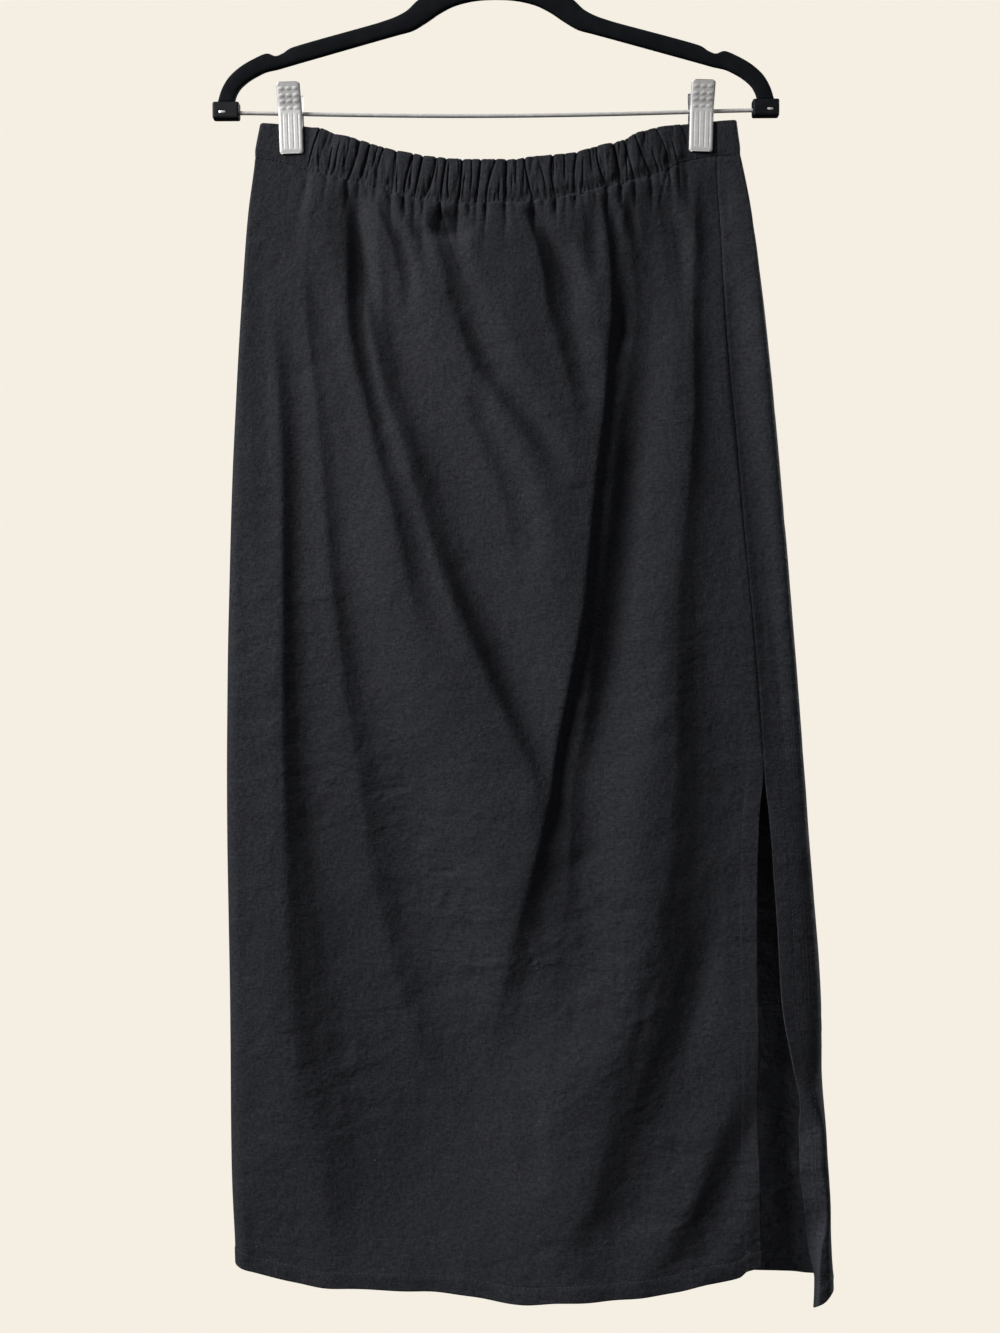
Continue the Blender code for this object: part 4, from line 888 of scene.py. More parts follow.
def dents_at(x, z, rows):
    """How far the dents move the cloth outwards."""
    lift = np.zeros_like(x)
    for row in rows:
        dent = dict(zip(DENT_COLUMNS, row))
        turn = math.radians(dent["angle"])
        dx = x - dent["x"]
        dz = z - dent["z"]
        along = (dx * math.cos(turn) + dz * math.sin(turn)) / dent["half_length"]
        across = (dz * math.cos(turn) - dx * math.sin(turn)) / dent["half_width"]
        lift -= dent["depth"] * np.exp(-(along**2) - across**2)
    return lift


def crumples(seed, count):
    """Seeded faint creases, more of them across the skirt than down it: rows as in the dents' tables."""
    rng = np.random.default_rng(seed)
    rows = []
    for _ in range(count):
        rows.append((
            rng.uniform(*CRUMPLE_X),
            rng.uniform(*CRUMPLE_Z),
            rng.uniform(*CRUMPLE_LENGTHS),
            rng.uniform(*CRUMPLE_WIDTHS),
            rng.normal(0.0, CRUMPLE_ANGLES),
            rng.uniform(*CRUMPLE_DEPTHS) * rng.choice(CRUMPLE_WAYS),
        ))
    return rows


def puckers(cloth, seed):
    """Seeded small creases under the waist seam: place, slant, depth, reach and width in shares."""
    rng = np.random.default_rng(seed)
    place, high = cloth.limits
    rows = []
    while place < high:
        slant = rng.normal(0.0, PUCKER_SLANT) / cloth.run
        depth = rng.uniform(*PUCKER_DEPTHS)
        reach = rng.choice(PUCKER_REACHES) * rng.uniform(*PUCKER_REACH_VARIES)
        rows.append((place, slant, depth, reach, rng.uniform(*PUCKER_WIDTHS) / cloth.run))
        place += rng.uniform(*PUCKER_STEPS) * PUCKER_SPACING / cloth.run
    return rows


def troughs(share, below, rows):
    """How far narrow creases that start at the waist seam move the cloth outwards."""
    lift = np.zeros_like(below)
    for place, slant, depth, reach, width in rows:
        off = np.abs(share - place - slant * below) / width
        lift -= depth * np.exp(-off - (below / reach) ** 2)
    return lift


def stitch_edges(seed, run):
    """Uneven places along the waist seam, in millimetres, where its stitches pull the cloth in."""
    rng = np.random.default_rng(seed)
    return np.cumsum(rng.uniform(*SEAM_STITCHES, int(run / SEAM_STITCHES_LEAST)))


def arches(across, edges):
    """0 at each edge and 1 half way between two, and which of the arches each place is in."""
    nearest = np.clip(np.searchsorted(edges, across) - 1, 0, len(edges) - 2)
    middle = (edges[nearest + 1] + edges[nearest]) / 2
    half = (edges[nearest + 1] - edges[nearest]) / 2
    return np.clip(1 - ((across - middle) / half) ** 2, 0, 1), nearest


def seam_puffs(share, below, seed, run):
    """Small cushions of cloth that the waist stitches push up just under the seam."""
    edges = stitch_edges(seed, run)
    arch, nearest = arches(share[0] * run, edges)
    size = np.random.default_rng(seed + 1).uniform(*PUFF_SIZES, len(edges))[nearest]
    ends = ease(np.minimum(share[0], 1 - share[0]) * run, *PUFF_FROM_ENDS)
    size = size * (PUFF_AT_ENDS + (1 - PUFF_AT_ENDS) * ends)
    return size * arch**PUFF_POWER * np.exp(-(((below - PUFF_BELOW) / PUFF_HALF) ** 2))


def turned_edge(distance, edge):
    """Height of a turned and stitched edge. distance is how far a place lies from its fold."""
    end = edge["width"] + edge["beyond"]
    step = edge["step"] * ease(end - distance, 0.0, edge["softness"])
    return step - edge["groove"] * np.exp(-(((distance - edge["width"]) / GROOVE_HALF) ** 2))


class Look:
    """A panel's finest surface: thin, with everything that its cloth shows."""

    def __init__(self, cloth, steps, gathers, dents, hem_of, seed):
        self.cloth = cloth
        self.dents = dents
        self.seed = seed
        self.run = cloth.run
        self.creases = seam_creases(cloth, gathers)
        self.puckers = puckers(cloth, seed + 1)
        down = panel_rows() / PANEL_LENGTH
        shares = shares_from(steps)
        seam_z = seam_height(cloth.x_along(shares, SEAM_Z)) + SEAM_TUCK_UP
        hem_z = hem_of(cloth, shares)
        self.share = np.repeat(shares[None, :], len(down), 0)
        self.z = seam_z + (hem_z - seam_z) * down[:, None]
        self.below = seam_z - self.z
        self.above_hem = self.z - hem_z
        self.below_slit = slit_top_z() - self.z
        steps_along = np.diff(cloth.at(self.share, self.z), axis=1)
        length = np.sum(np.linalg.norm(steps_along, axis=2), axis=1)[:, None]
        self.from_start = self.share * length
        self.from_end = (1 - self.share) * length

    def swayed(self, waves, seed, size):
        """Unevenness with this many times the waves of the cloth's own, along the panel and down it."""
        across, down = waves
        return sway(self.share * self.run * across, self.z * down, self.seed + seed, size)

    def draped(self, x, facing):
        """Folds, dents and unevenness, and the squarer right side fold. facing is -1 in front."""
        lift = np.where(
            facing < 0,
            folds_at(x, self.z, FRONT_FOLDS, 1) + dents_at(x, self.z, self.dents[0]),
            folds_at(x, self.z, BACK_FOLDS, -1) + dents_at(x, self.z, self.dents[1]),
        )
        lift *= np.abs(facing) ** 2 * ease(self.below, *FOLDS_GROW)
        from_edge = np.minimum(self.from_start, self.from_end)
        even = ease(self.below, *SWAY_GROWS) * ease(from_edge, *SWAY_FROM_EDGE)
        lift += self.swayed((1.0, 1.0), 0, SWAY_SIZE) * even
        rounding = smooth(level_of(self.z), SECTION["level"], SECTION["round_right"])
        turning = np.exp(-(((facing - CORNER_FACES) / CORNER_FACES_HALF) ** 2))
        turning = turning * ease(x, *CORNER_FROM_X) * ease(self.z, *CORNER_ABOVE_Z)
        return lift + FOLD_CORNER * rounding * turning

    def gathered(self):
        """The gathers and puckers, flatter where the waist seam holds them."""
        bend = self.swayed(BEND_WAVES, 9, BEND) * ease(self.below, *BEND_GROWS) / self.run
        lift = gathers_at(self.cloth, self.share + bend, self.below, self.creases)
        lift += troughs(self.share, self.below, self.puckers)
        return lift * (SEAM_PULL + (1 - SEAM_PULL) * ease(self.below, *SEAM_PULL_ENDS))

    def sewn(self):
        """Hem, side seams and facings: turned edges with stitched grooves, and the seams' sunk edges."""
        hem = turned_edge(self.above_hem, HEM_EDGE)
        wave = self.swayed(HEM_WAVES, 3, HEM_WAVE)
        hem += wave * ease(HEM_WAVE_TO - self.above_hem, 0.0, HEM_WAVE_TO)
        closed = self.below_slit < 0
        edges = -LEFT_SEAM_SINKS * np.exp(-(self.from_start**2))
        edges -= np.where(closed, RIGHT_SEAM_SINKS * np.exp(-(self.from_end**2)), 0.0)
        facing = np.where(closed, 0.0, ease(self.below_slit, *FACING_GROWS))
        return hem + edges + turned_edge(self.from_end, FACING_EDGE) * facing

    def lift(self, x, facing):
        """How far the cloth stands out from its plain section."""
        lift = self.draped(x, facing) + self.gathered()
        lift += seam_puffs(self.share, self.below, self.seed + 2, self.run)
        lift -= SEAM_TUCK_IN * (1 - ease(self.below, *SEAM_TUCK_ENDS))
        return lift + self.sewn()

    def points(self):
        """The middle surface, rows down and columns along."""
        plan = self.cloth.at(self.share, self.z)
        normal = self.cloth.normal(self.share, self.z)
        lift = self.lift(plan[..., 0], normal[..., 1])
        plan = plan + normal * lift[..., None]
        return np.concatenate([plan, self.z[..., None]], -1)

    def uv(self):
        """Metres across and down the cloth, for its weave."""
        return np.stack([self.share * self.run * MM * PANEL_FULLNESS, self.z * MM], -1)


def turn_flap(look, points):
    """The back panel's free edge: round a squarer fold to a crease, and beyond it a strip that turns back.

    The strip grows from the free edge, and hangs edge-on at its foot."""
    below = -look.z
    wide = FLAP_STRIP * ease(below, *FLAP_GROWS)
    grown = ease(below, *FLAP_FOLDS)
    turn = ease(below, *FLAP_TURNS)
    crease_x = smooth(below, FLAP_CREASE["below"], FLAP_CREASE["x"])
    points = points.copy()
    for i, from_end in enumerate(look.from_end):
        near = np.nonzero(from_end < FLAP_NEAR)[0]
        fold = near[0] + int(np.argmax(points[i, near, 0]))
        strip = np.nonzero(from_end < wide[i])[0]
        if len(strip) < 1 or strip[0] - fold < FLAP_COLUMNS_LEAST:
            continue
        last = strip[0] - 1
        side = points[i, fold].copy()
        round_to = slice(fold, last + 1)
        angle = (from_end[fold] - from_end[round_to]) / (from_end[fold] - from_end[last]) * math.pi / 2
        crease = np.array([crease_x[i, last], points[i, last, 1] - FLAP_CREASE_IN])
        x = crease[0] + (side[0] - crease[0]) * np.cos(angle) ** FLAP_SQUARE
        y = side[1] + (crease[1] - side[1]) * np.sin(angle) ** FLAP_SQUARE
        mix = grown[i, round_to][:, None]
        points[i, round_to, :2] += (np.stack([x, y], 1) - points[i, round_to, :2]) * mix
        corner = points[i, last].copy()
        off = from_end[last] - from_end[strip]
        way = math.radians(FLAP_OPEN + (FLAP_TURNED - FLAP_OPEN) * turn[i, last])
        points[i, strip, :2] = corner[:2] + off[:, None] * np.array([math.cos(way), math.sin(way)])
    return points


# ---------------------------------------------------------------- meshes

def mesh_object(name, points, faces, material, uv=None, smooth=True):
    """An object from points in millimetres."""
    mesh = bpy.data.meshes.new(name)
    mesh.from_pydata((np.asarray(points) * MM).tolist(), [], [tuple(f) for f in faces])
    if uv is not None:
        layer = mesh.uv_layers.new(name="cloth")
        corner = np.empty(len(mesh.loops), int)
        mesh.loops.foreach_get("vertex_index", corner)
        layer.data.foreach_set("uv", np.asarray(uv)[corner].astype(np.float32).ravel())
    mesh.polygons.foreach_set("use_smooth", [smooth] * len(mesh.polygons))
    mesh.materials.append(material)
    mesh.update()
    obj = bpy.data.objects.new(name, mesh)
    bpy.context.collection.objects.link(obj)
    return obj


def grid_faces(rows, columns, start, flip):
    """Quads of a grid of points that begin at index start."""
    i, j = np.meshgrid(np.arange(rows - 1), np.arange(columns - 1), indexing="ij")
    a = start + i * columns + j
    quads = np.stack([a, a + columns, a + columns + 1, a + 1], -1).reshape(-1, 4)
    return quads[:, ::-1] if flip else quads


def shell(name, middle, outward, uv, material, wall, inner_depth):
    """A thin closed shell round a grid of points, its inner side with every other column.

    inner_depth is added to the inner side, where a hem or facing lies under the cloth. Gives the piece
    and the points of its outer side."""
    normal = surface_normals(middle) * outward
    outer = middle + normal * wall / 2
    inner = (middle - normal * (wall / 2 + inner_depth[..., None]))[:, ::2]
    rows, columns = outer.shape[:2]
    half = inner.shape[1]
    first = rows * columns
    flip = outward > 0
    faces = [*grid_faces(rows, columns, 0, flip), *grid_faces(rows, half, first, not flip)]
    for row in (0, rows - 1):
        turn = (row == 0) == flip
        for j in range(half - 1):
            a = row * columns + 2 * j
            b = first + row * half + j
            rim = [(a, a + 1, b), (a + 1, b + 1, b), (a + 1, a + 2, b + 1)]
            faces += [f[::-1] if turn else f for f in rim]
    for column, inner_column in ((0, 0), (columns - 1, half - 1)):
        turn = (column == 0) != flip
        for i in range(rows - 1):
            a = i * columns + column
            b = first + i * half + inner_column
            quad = (a, b, b + half, a + columns)
            faces.append(quad[::-1] if not turn else quad)
    points = np.concatenate([outer.reshape(-1, 3), inner.reshape(-1, 3)])
    both = np.concatenate([uv.reshape(-1, 2), uv[:, ::2].reshape(-1, 2)])
    return mesh_object(name, points, faces, material, both), outer


def finish_piece(piece, slot, *nodes):
    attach(piece, BODY)
    if nodes:
        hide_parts(*nodes)
    return piece


# ---------------------------------------------------------------- panels and bands

def turned_under(look):
    """How much thicker the cloth is where its hem and facings are turned under it."""
    hem = HEM_LAYER * ease(HEM_TURN - look.above_hem, *LAYER_EDGE)
    facing = HEM_LAYER * ease(FACING - look.from_end, *LAYER_EDGE) * ease(look.below_slit, *LAYER_BELOW_SLIT)
    return np.maximum(hem, facing)


def make_panel(name, node, look, flap, material):
    """A panel as a thin shell. Gives the points of its outer face."""
    points = look.points()
    if flap:
        points = turn_flap(look, points)
    outward = look.cloth.outward
    piece, outer = shell(name, points, outward, look.uv(), material, PANEL_WALL, turned_under(look))
    finish_piece(piece, "cloth", node)
    return outer


def short_crease_ends(rng, ends):
    """Rises where a short crease starts and ends: most start at the seam, the others run to the top."""
    from_seam, to_top = ends
    if rng.random() < BAND_FROM_SEAM:
        return BELOW_BAND, rng.uniform(*from_seam)
    return rng.uniform(*to_top), ABOVE_BAND


def band_creases(cloth, gathers, seed):
    """Creases of the casing: most run its whole height, some stop half way up or down it.

    Each is (share at the seam, share at the top, bow, depth, width, rise where it starts and ends)."""
    rng = np.random.default_rng(seed)
    run = cloth.run
    rows = []
    for at_top, at_seam, depth, _ in crease_shares(cloth, gathers):
        start, end = BELOW_BAND, ABOVE_BAND
        if depth < BAND_WHOLE:
            start, end = short_crease_ends(rng, MAIN_CREASE_ENDS)
        bow = rng.normal(0.0, MAIN_CREASE_BOW) / run
        width = rng.uniform(*MAIN_CREASE_WIDTHS) / run
        rows.append((at_seam, at_top, bow, depth * rng.uniform(*MAIN_CREASE_DEPTHS), width, start, end))
    main = np.sort([row[0] for row in rows])
    for low, high in zip(main, main[1:]):
        if high - low < BAND_WIDE_PUFF / run:
            continue
        place = low + (high - low) * rng.uniform(*LESS_CREASE_PLACES)
        top = place + rng.normal(0.0, LESS_CREASE_LEAN) / run
        start, end = short_crease_ends(rng, LESS_CREASE_ENDS)
        bow = rng.normal(0.0, LESS_CREASE_BOW) / run
        depth = rng.uniform(*LESS_CREASE_DEPTHS)
        rows.append((place, top, bow, depth, LESS_CREASE_WIDTH / run, start, end))
    return rows


def band_wrinkles(cloth, seed):
    """Short slanting wrinkles between the creases: share, rise, slant, depth, width and half length."""
    rng = np.random.default_rng(seed)
    rows = []
    for _ in range(BAND_WRINKLES):
        rows.append((
            rng.uniform(*cloth.limits),
            rng.choice([rng.uniform(*rises) for rises in WRINKLE_RISES]),
            rng.normal(0.0, WRINKLE_SLANT) / cloth.run,
            rng.uniform(*WRINKLE_DEPTHS) * rng.choice(WRINKLE_WAYS),
            rng.uniform(*WRINKLE_WIDTHS) / cloth.run,
            rng.uniform(*WRINKLE_HALVES),
        ))
    return rows


def slant(cloth, gathers, share):
    """How far a place at the seam leans along the panel on its way to the band's top, in shares."""
    main = sorted((at_seam, at_top) for at_top, at_seam, _, _ in crease_shares(cloth, gathers))
    seams = np.array([0.0] + [m[0] for m in main] + [1.0])
    leans = np.array([0.0] + [m[1] - m[0] for m in main] + [0.0])
    return np.interp(share, seams, leans)


class Casing:
    """One half of the elastic casing: its gathered face, its folded top and its back.

    A rise is a share of its height, from its seam to its top."""

    def __init__(self, cloth, gathers, seed):
        self.cloth = cloth
        self.seed = seed
        self.creases = band_creases(cloth, gathers, seed)
        self.wrinkles = band_wrinkles(cloth, seed + 1)
        self.foot = seam_creases(cloth, gathers)
        self.puffs = np.random.default_rng(seed + 2).uniform(*BAND_PUFF_SIZES, len(gathers))
        self.share = np.linspace(0, 1, BAND_COLUMNS + 1)
        self.lean = slant(cloth, gathers, self.share)
        self.bow = self.stitch_bow()
        run = self.share * cloth.run
        self.tuck = np.exp(-(run**2)) + np.exp(-(((1 - self.share) * cloth.run) ** 2))
        self.low = seam_height(cloth.x_along(self.share, SEAM_Z)) - BAND_LOWER
        self.high = top_height(cloth.x_along(self.share, BAND_TOP_Z))

    def stitch_bow(self):
        """How far the seam's edge bows between the stitches that hold it."""
        edges = stitch_edges(self.seed + 6, self.cloth.run)
        arch, nearest = arches(self.share * self.cloth.run, edges)
        sizes = np.random.default_rng(self.seed + 3).uniform(*BAND_STITCH_SIZES, len(edges))
        arch = arch * sizes[nearest]
        return arch * (BAND_STITCH_FLAT + (1 - BAND_STITCH_FLAT) * self.cloth.gathered(self.share))

    def ridges(self, share, rise):
        """Height of the plain ridges, with a puff between every two creases that run the whole height."""
        across = share * self.cloth.run
        down = np.full(len(share), rise * RIDGE_WAVE_RISE)
        wave = sway(across * RIDGE_WAVES, down, self.seed + 5, RIDGE_SWAY)
        ridge = RIDGE_HEIGHT - RIDGE_LOWER + wave
        edges = np.sort([
            (at_seam + (at_top - at_seam) * rise) * self.cloth.run
            for at_seam, at_top, _, _, _, start, end in self.creases
            if start == BELOW_BAND and end == ABOVE_BAND
        ])
        arch, nearest = arches(across, edges)
        tall = np.minimum(BAND_PUFF * np.diff(edges)[nearest], BAND_PUFF_MOST) * self.puffs[nearest]
        inside = (across > edges[0]) & (across < edges[-1])
        return ridge + np.where(inside, tall * (arch**BAND_PUFF_POWER - BAND_PUFF_MIDDLE), 0.0)

    def height(self, share, rise):
        """Height of the gathered face over its flat one, and the height of its plain ridges."""
        window = self.cloth.gathered(share)
        ridge = self.ridges(share, rise) * window
        height = ridge.copy()
        for at_seam, at_top, bow, depth, width, start, end in self.creases:
            place = at_seam + (at_top - at_seam) * rise + bow * 4 * rise * (1 - rise)
            shown = ease(rise, start - CREASE_STARTS, start + CREASE_STARTS)
            shown = shown * (1 - ease(rise, end - CREASE_STOPS, end + CREASE_STOPS))
            height -= depth * shown * np.exp(-np.abs(share - place) / width)
        for place, middle, leans, depth, width, half in self.wrinkles:
            off = (share - place - leans * (rise - middle)) / width
            height -= depth * np.exp(-(off**2) - ((rise - middle) / half) ** 2) * window
        pull = BAND_SEAM_PULL + (1 - BAND_SEAM_PULL) * ease(rise, *BAND_SEAM_PULL_ENDS)
        pull *= 1 - BAND_TOP_PULL * ease(rise, *BAND_TOP_PULL_FROM)
        height = np.maximum(height, -RIDGE_LEAST) * pull
        foot = SEAM_PULL * gathers_at(self.cloth, share, np.zeros(len(share)), self.foot) - BAND_FOOT_IN
        return height + (foot - height) * (1 - ease(rise, *BAND_FOOT_ENDS)), ridge * pull

    def row(self, rise, side, teeth):
        """Points along the casing at a rise. side is 1 on the face and -1 on the back."""
        place = np.clip(self.share + self.lean * rise, 0, 1)
        height, ridge = self.height(place, rise)
        over = math.sqrt(max(0.0, 1 - side * side))
        z = self.low + (self.high - self.low) * rise
        z = z + float(ease(rise, *BAND_TEETH_GROW)) * teeth + over * BAND_HALF * BAND_TOP_OVER
        z -= BAND_STITCH_DROP * self.bow * (1 - float(ease(rise, *BAND_STITCH_ENDS)))
        half = BAND_HALF * (BAND_FOOT + (1 - BAND_FOOT) * float(ease(rise, *BAND_FOOT_TO)))
        inner = BAND_INNER_RIDGE * ridge - BAND_INNER_CREASE * height
        facing = (1 + side) / 2
        lift = half * side + height * facing + inner * (1 - facing) - self.tuck * BAND_END_TUCK * side
        swells = float(ease(BAND_FOOT_ENDS[1] - rise, *BAND_SWELL_GROWS))
        lift += BAND_STITCH_SWELL * self.bow * facing * swells
        plan = self.cloth.at(place, z) + self.cloth.normal(place, z) * lift[:, None]
        return np.concatenate([plan, z[:, None]], -1)

    def grid(self):
        """Points up the face, over the folded top and down the back, and their places on the cloth."""
        top, ridge = self.height(self.share + self.lean, 1.0)
        teeth = (top - BAND_TEETH_OVER * ridge) * BAND_TOP_TEETH
        turns = [(rise, 1.0) for rise in BAND_FACE_RISES]
        turns += [(1.0, math.cos(math.radians(angle))) for angle in BAND_TOP_ANGLES]
        turns += [(rise, -1.0) for rise in BAND_FACE_RISES[::-2]]
        rows = np.array([self.row(rise, side, teeth) for rise, side in turns])
        downs = np.array([rise if side > 0 else 2.0 - rise for rise, side in turns])
        across = np.repeat(self.share[None, :], len(rows), 0) * self.cloth.run * MM * BAND_FULLNESS
        down = np.repeat(downs[:, None], len(self.share), 1) * BAND_CASING
        return rows[::-1], np.stack([across, down], -1)[::-1]


def make_band(name, node, cloth, gathers, material, seed):
    """One half of the elastic casing, closed along its foot and at its ends."""
    grid, uv = Casing(cloth, gathers, seed).grid()
    count, columns = grid.shape[:2]
    flip = cloth.outward > 0
    faces = list(grid_faces(count, columns, 0, flip))
    last = (count - 1) * columns
    for j in range(columns - 1):
        quad = (last + j, j, j + 1, last + j + 1)
        faces.append(quad[::-1] if flip else quad)
    for column in (0, columns - 1):
        loop = [i * columns + column for i in range(count)]
        faces.append(loop if (column == 0) != flip else loop[::-1])
    piece = mesh_object(name, grid.reshape(-1, 3), faces, material, uv.reshape(-1, 2))
    finish_piece(piece, "cloth", node)


# ---------------------------------------------------------------- tubes and stitches

def tube_faces(rings, around, first=0):
    """Faces of a tube of rings whose points begin at index first, with both ends closed."""
    faces = []
    for r in range(rings - 1):
        low = first + r * around
        high = low + around
        for k in range(around):
            m = (k + 1) % around
            faces.append((low + k, low + m, high + m, high + k))
    last = first + (rings - 1) * around
    faces.append([first + k for k in range(around)][::-1])
    faces.append([last + k for k in range(around)])
    return faces


def ring(centre, radius, across, other, around):
    """Points of a circle round a centre, in the plane of two directions."""
    angles = [2 * math.pi * k / around for k in range(around)]
    return [centre + radius * (across * math.cos(angle) + other * math.sin(angle)) for angle in angles]


def tube(name, line, radius, around, material, slot, *nodes):
    """A round wire along a line of points, in millimetres."""
    line = np.array(line, float)
    along = np.gradient(line, axis=0)
    along /= np.linalg.norm(along, axis=1, keepdims=True)
    across = np.cross(along[0], TUBE_START)
    across /= np.linalg.norm(across)
    points = []
    for p, a in zip(line, along):
        across = across - a * np.dot(across, a)
        across /= np.linalg.norm(across)
        points += ring(p, radius, across, np.cross(a, across), around)
    piece = mesh_object(name, points, tube_faces(len(line), around), material)
    return finish_piece(piece, slot, *nodes)


def resampled(line, normals, pitch):
    """Points, normals and directions at even distances along a line."""
    run = runs_along(line)
    places = np.arange(pitch / 2, run[-1], pitch)

    def at(where, values):
        return np.stack([np.interp(where, run, values[:, k]) for k in range(3)], 1)

    along = at(places + 0.5, line) - at(places - 0.5, line)
    along /= np.linalg.norm(along, axis=1, keepdims=True) + 1e-9
    return at(places, line), at(places, normals), along


def make_stitches(name, lines, material):
    """Short arched threads along lines that lie on the cloth, as one mesh."""
    points = []
    faces = []
    for line, normals in lines:
        at, out, along = resampled(line, normals, STITCH + STITCH_GAP)
        side = np.cross(along, out)
        side /= np.linalg.norm(side, axis=1, keepdims=True) + 1e-9
        for p, n, a, s in zip(at, out, along, side):
            faces += tube_faces(len(STITCH_PROFILE), STITCH_ROUND, len(points))
            for place, rise, thick in STITCH_PROFILE:
                centre = p + a * place * STITCH + n * rise * THREAD
                points += ring(centre, THREAD * thick, n, s, STITCH_ROUND)
    return finish_piece(mesh_object(name, points, faces, material), "cloth")


def row_line(outer, look, distance):
    """The line on a panel's face that runs at a distance above its hem, and the face's normals there."""
    row = int(np.argmin(np.abs(look.above_hem[:, look.above_hem.shape[1] // 2] - distance)))
    normal = surface_normals(outer) * look.cloth.outward
    return outer[row], normal[row]


def edge_line(outer, look, distance):
    """The line on a panel's face that runs at a distance from its slit edge, below the slit's top."""
    normal = surface_normals(outer) * look.cloth.outward
    backwards = slice(None, None, -1)
    points = []
    normals = []
    for i, from_end in enumerate(look.from_end):
        if look.z[i, -1] > slit_top_z() - SLIT_STITCHES_BELOW:
            continue
        if look.above_hem[i, -1] < SLIT_STITCHES_ABOVE_HEM:
            continue
        for found, grid in ((points, outer), (normals, normal)):
            row = [np.interp(distance, from_end[backwards], grid[i, backwards, k]) for k in range(3)]
            found.append(row)
    return np.array(points), np.array(normals)


# ---------------------------------------------------------------- hanger

def squarer(wave, power):
    """A sine or cosine wave with a power below 1, which makes an oval squarer."""
    return np.sign(wave) * np.abs(wave) ** power


def make_arms(material):
    """The flocked arms and hump: a squarish bar that narrows to its ends."""
    arm = columns(ARM_COLUMNS, ARM)
    station = np.arange(len(ARM), dtype=float)
    fine = np.linspace(0, len(ARM) - 1, ARM_STATIONS)
    half = {name: smooth(fine, station, arm[name]) for name in ARM_COLUMNS}
    turn = np.linspace(0, 2 * math.pi, ARM_ROUND, endpoint=False)
    down = 0.5 - 0.5 * squarer(np.cos(turn), ARM_SQUARE_UP)
    deep = 0.5 * squarer(np.sin(turn), ARM_SQUARE_DEEP)
    points = []
    stations = [(-1, i) for i in range(ARM_STATIONS - 1, 0, -1)] + [(1, i) for i in range(ARM_STATIONS)]
    for side, i in stations:
        upper = np.array([side * half["upper_x"][i], half["upper_z"][i]])
        lower = np.array([side * half["lower_x"][i], half["lower_z"][i]])
        for d, y in zip(down, deep):
            x, z = upper * (1 - d) + lower * d
            points.append((x, y * half["depth"][i], z))
    piece = mesh_object("hanger_arms", points, tube_faces(len(stations), ARM_ROUND), material)
    finish_piece(piece, "flock", "hanger_frame")


def direction(angle):
    return np.array([math.cos(angle), math.sin(angle)])


def hook_points():
    """The middle line of the hook: up the neck, out to the side and round the crook to its tip."""
    up_neck, to_side, round_crook = HOOK_POINTS
    centre = np.array([0.0, -HOOK_INNER])
    radius = HOOK_INNER + HOOK_WIRE
    points = [(0.0, z) for z in np.linspace(HUMP_TOP - HOOK_SOCKET, HOOK_NECK_TOP, up_neck)]
    join = math.radians(HOOK_JOIN_ANGLE)
    start = np.array([0.0, HOOK_NECK_TOP])
    end = centre + radius * direction(join)
    reach = HOOK_SWING * np.linalg.norm(end - start)
    out = np.array([0.0, 1.0]) * reach
    into = np.array([-math.sin(join), math.cos(join)]) * reach
    for f in np.linspace(0, 1, to_side)[1:-1]:
        points.append(curve(start, end, out, into, f))
    for angle in np.linspace(join, math.radians(HOOK_TIP_ANGLE), round_crook):
        points.append(centre + radius * direction(angle))
    return [(x, 0.0, z) for x, z in points]


def bar_points():
    """The middle line of the bar: it sags between its ends, which are bent forward."""
    inner = np.linspace(-BAR_SAG_HALF, BAR_SAG_HALF, BAR_POINTS)
    drop = BAR_SAG * (1 - (inner / BAR_SAG_HALF) ** 2) ** BAR_SAG_POWER
    points = [(x, 0.0, BAR_Z - d) for x, d in zip(inner, drop)]
    ends = [(BAR_HALF - back, -forward, BAR_Z) for back, forward in BAR_END]
    return [(-x, y, z) for x, y, z in ends[::-1]] + points + ends


def repaint(node, material):
    """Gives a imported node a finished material."""
    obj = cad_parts[node]
    for place in obj.material_slots:
        place.link = "DATA"
        place.material = material


def make_hanger(flocked, moulded, wire):
    make_arms(flocked)
    tube("hook", hook_points(), HOOK_WIRE, HOOK_ROUND, wire, "wire", "hanger_hook")
    tube("bar", bar_points(), BAR_RADIUS, BAR_ROUND, wire, "wire", "hanger_bar")
    for node in ("hanger_cap_left", "hanger_cap_right"):
        repaint(node, moulded)


# ---------------------------------------------------------------- clips

def clip_place(side, x, y, z):
    """A point of a clip's own upright plate, tilted into its place on the bar."""
    tilt = math.radians(CLIP_TILT) * side
    up = z - BAR_AT_CLIP
    return (
        side * CLIP_X + x * math.cos(tilt) + up * math.sin(tilt),
        y,
        BAR_AT_CLIP - x * math.sin(tilt) + up * math.cos(tilt),
    )


def plate_relief(x, z):
    """The stamped plate's raised pads and pressed grooves, outwards."""
    lift = np.zeros_like(x)
    for pad_x in CLIP_PADS_X:
        for pad_z in CLIP_PADS_Z:
            reach = np.hypot((x - pad_x) / CLIP_PAD_HALF[0], (z - pad_z) / CLIP_PAD_HALF[1])
            lift += CLIP_PAD_HEIGHT * (1 - ease(reach, *CLIP_PAD_EDGE))
    foot = ease(z, CLIP_GROOVE_FOOT - CLIP_GROOVE_END, CLIP_GROOVE_FOOT + CLIP_GROOVE_END)
    top = ease(z, CLIP_GROOVE_TOP - CLIP_GROOVE_END, CLIP_GROOVE_TOP + CLIP_GROOVE_END)
    for groove_x in CLIP_GROOVES_X:
        reach = np.abs(x - groove_x) / CLIP_GROOVE_HALF
        lift -= CLIP_GROOVE_DEPTH * (1 - ease(reach, *CLIP_GROOVE_EDGE)) * (foot * (1 - top))
    return lift


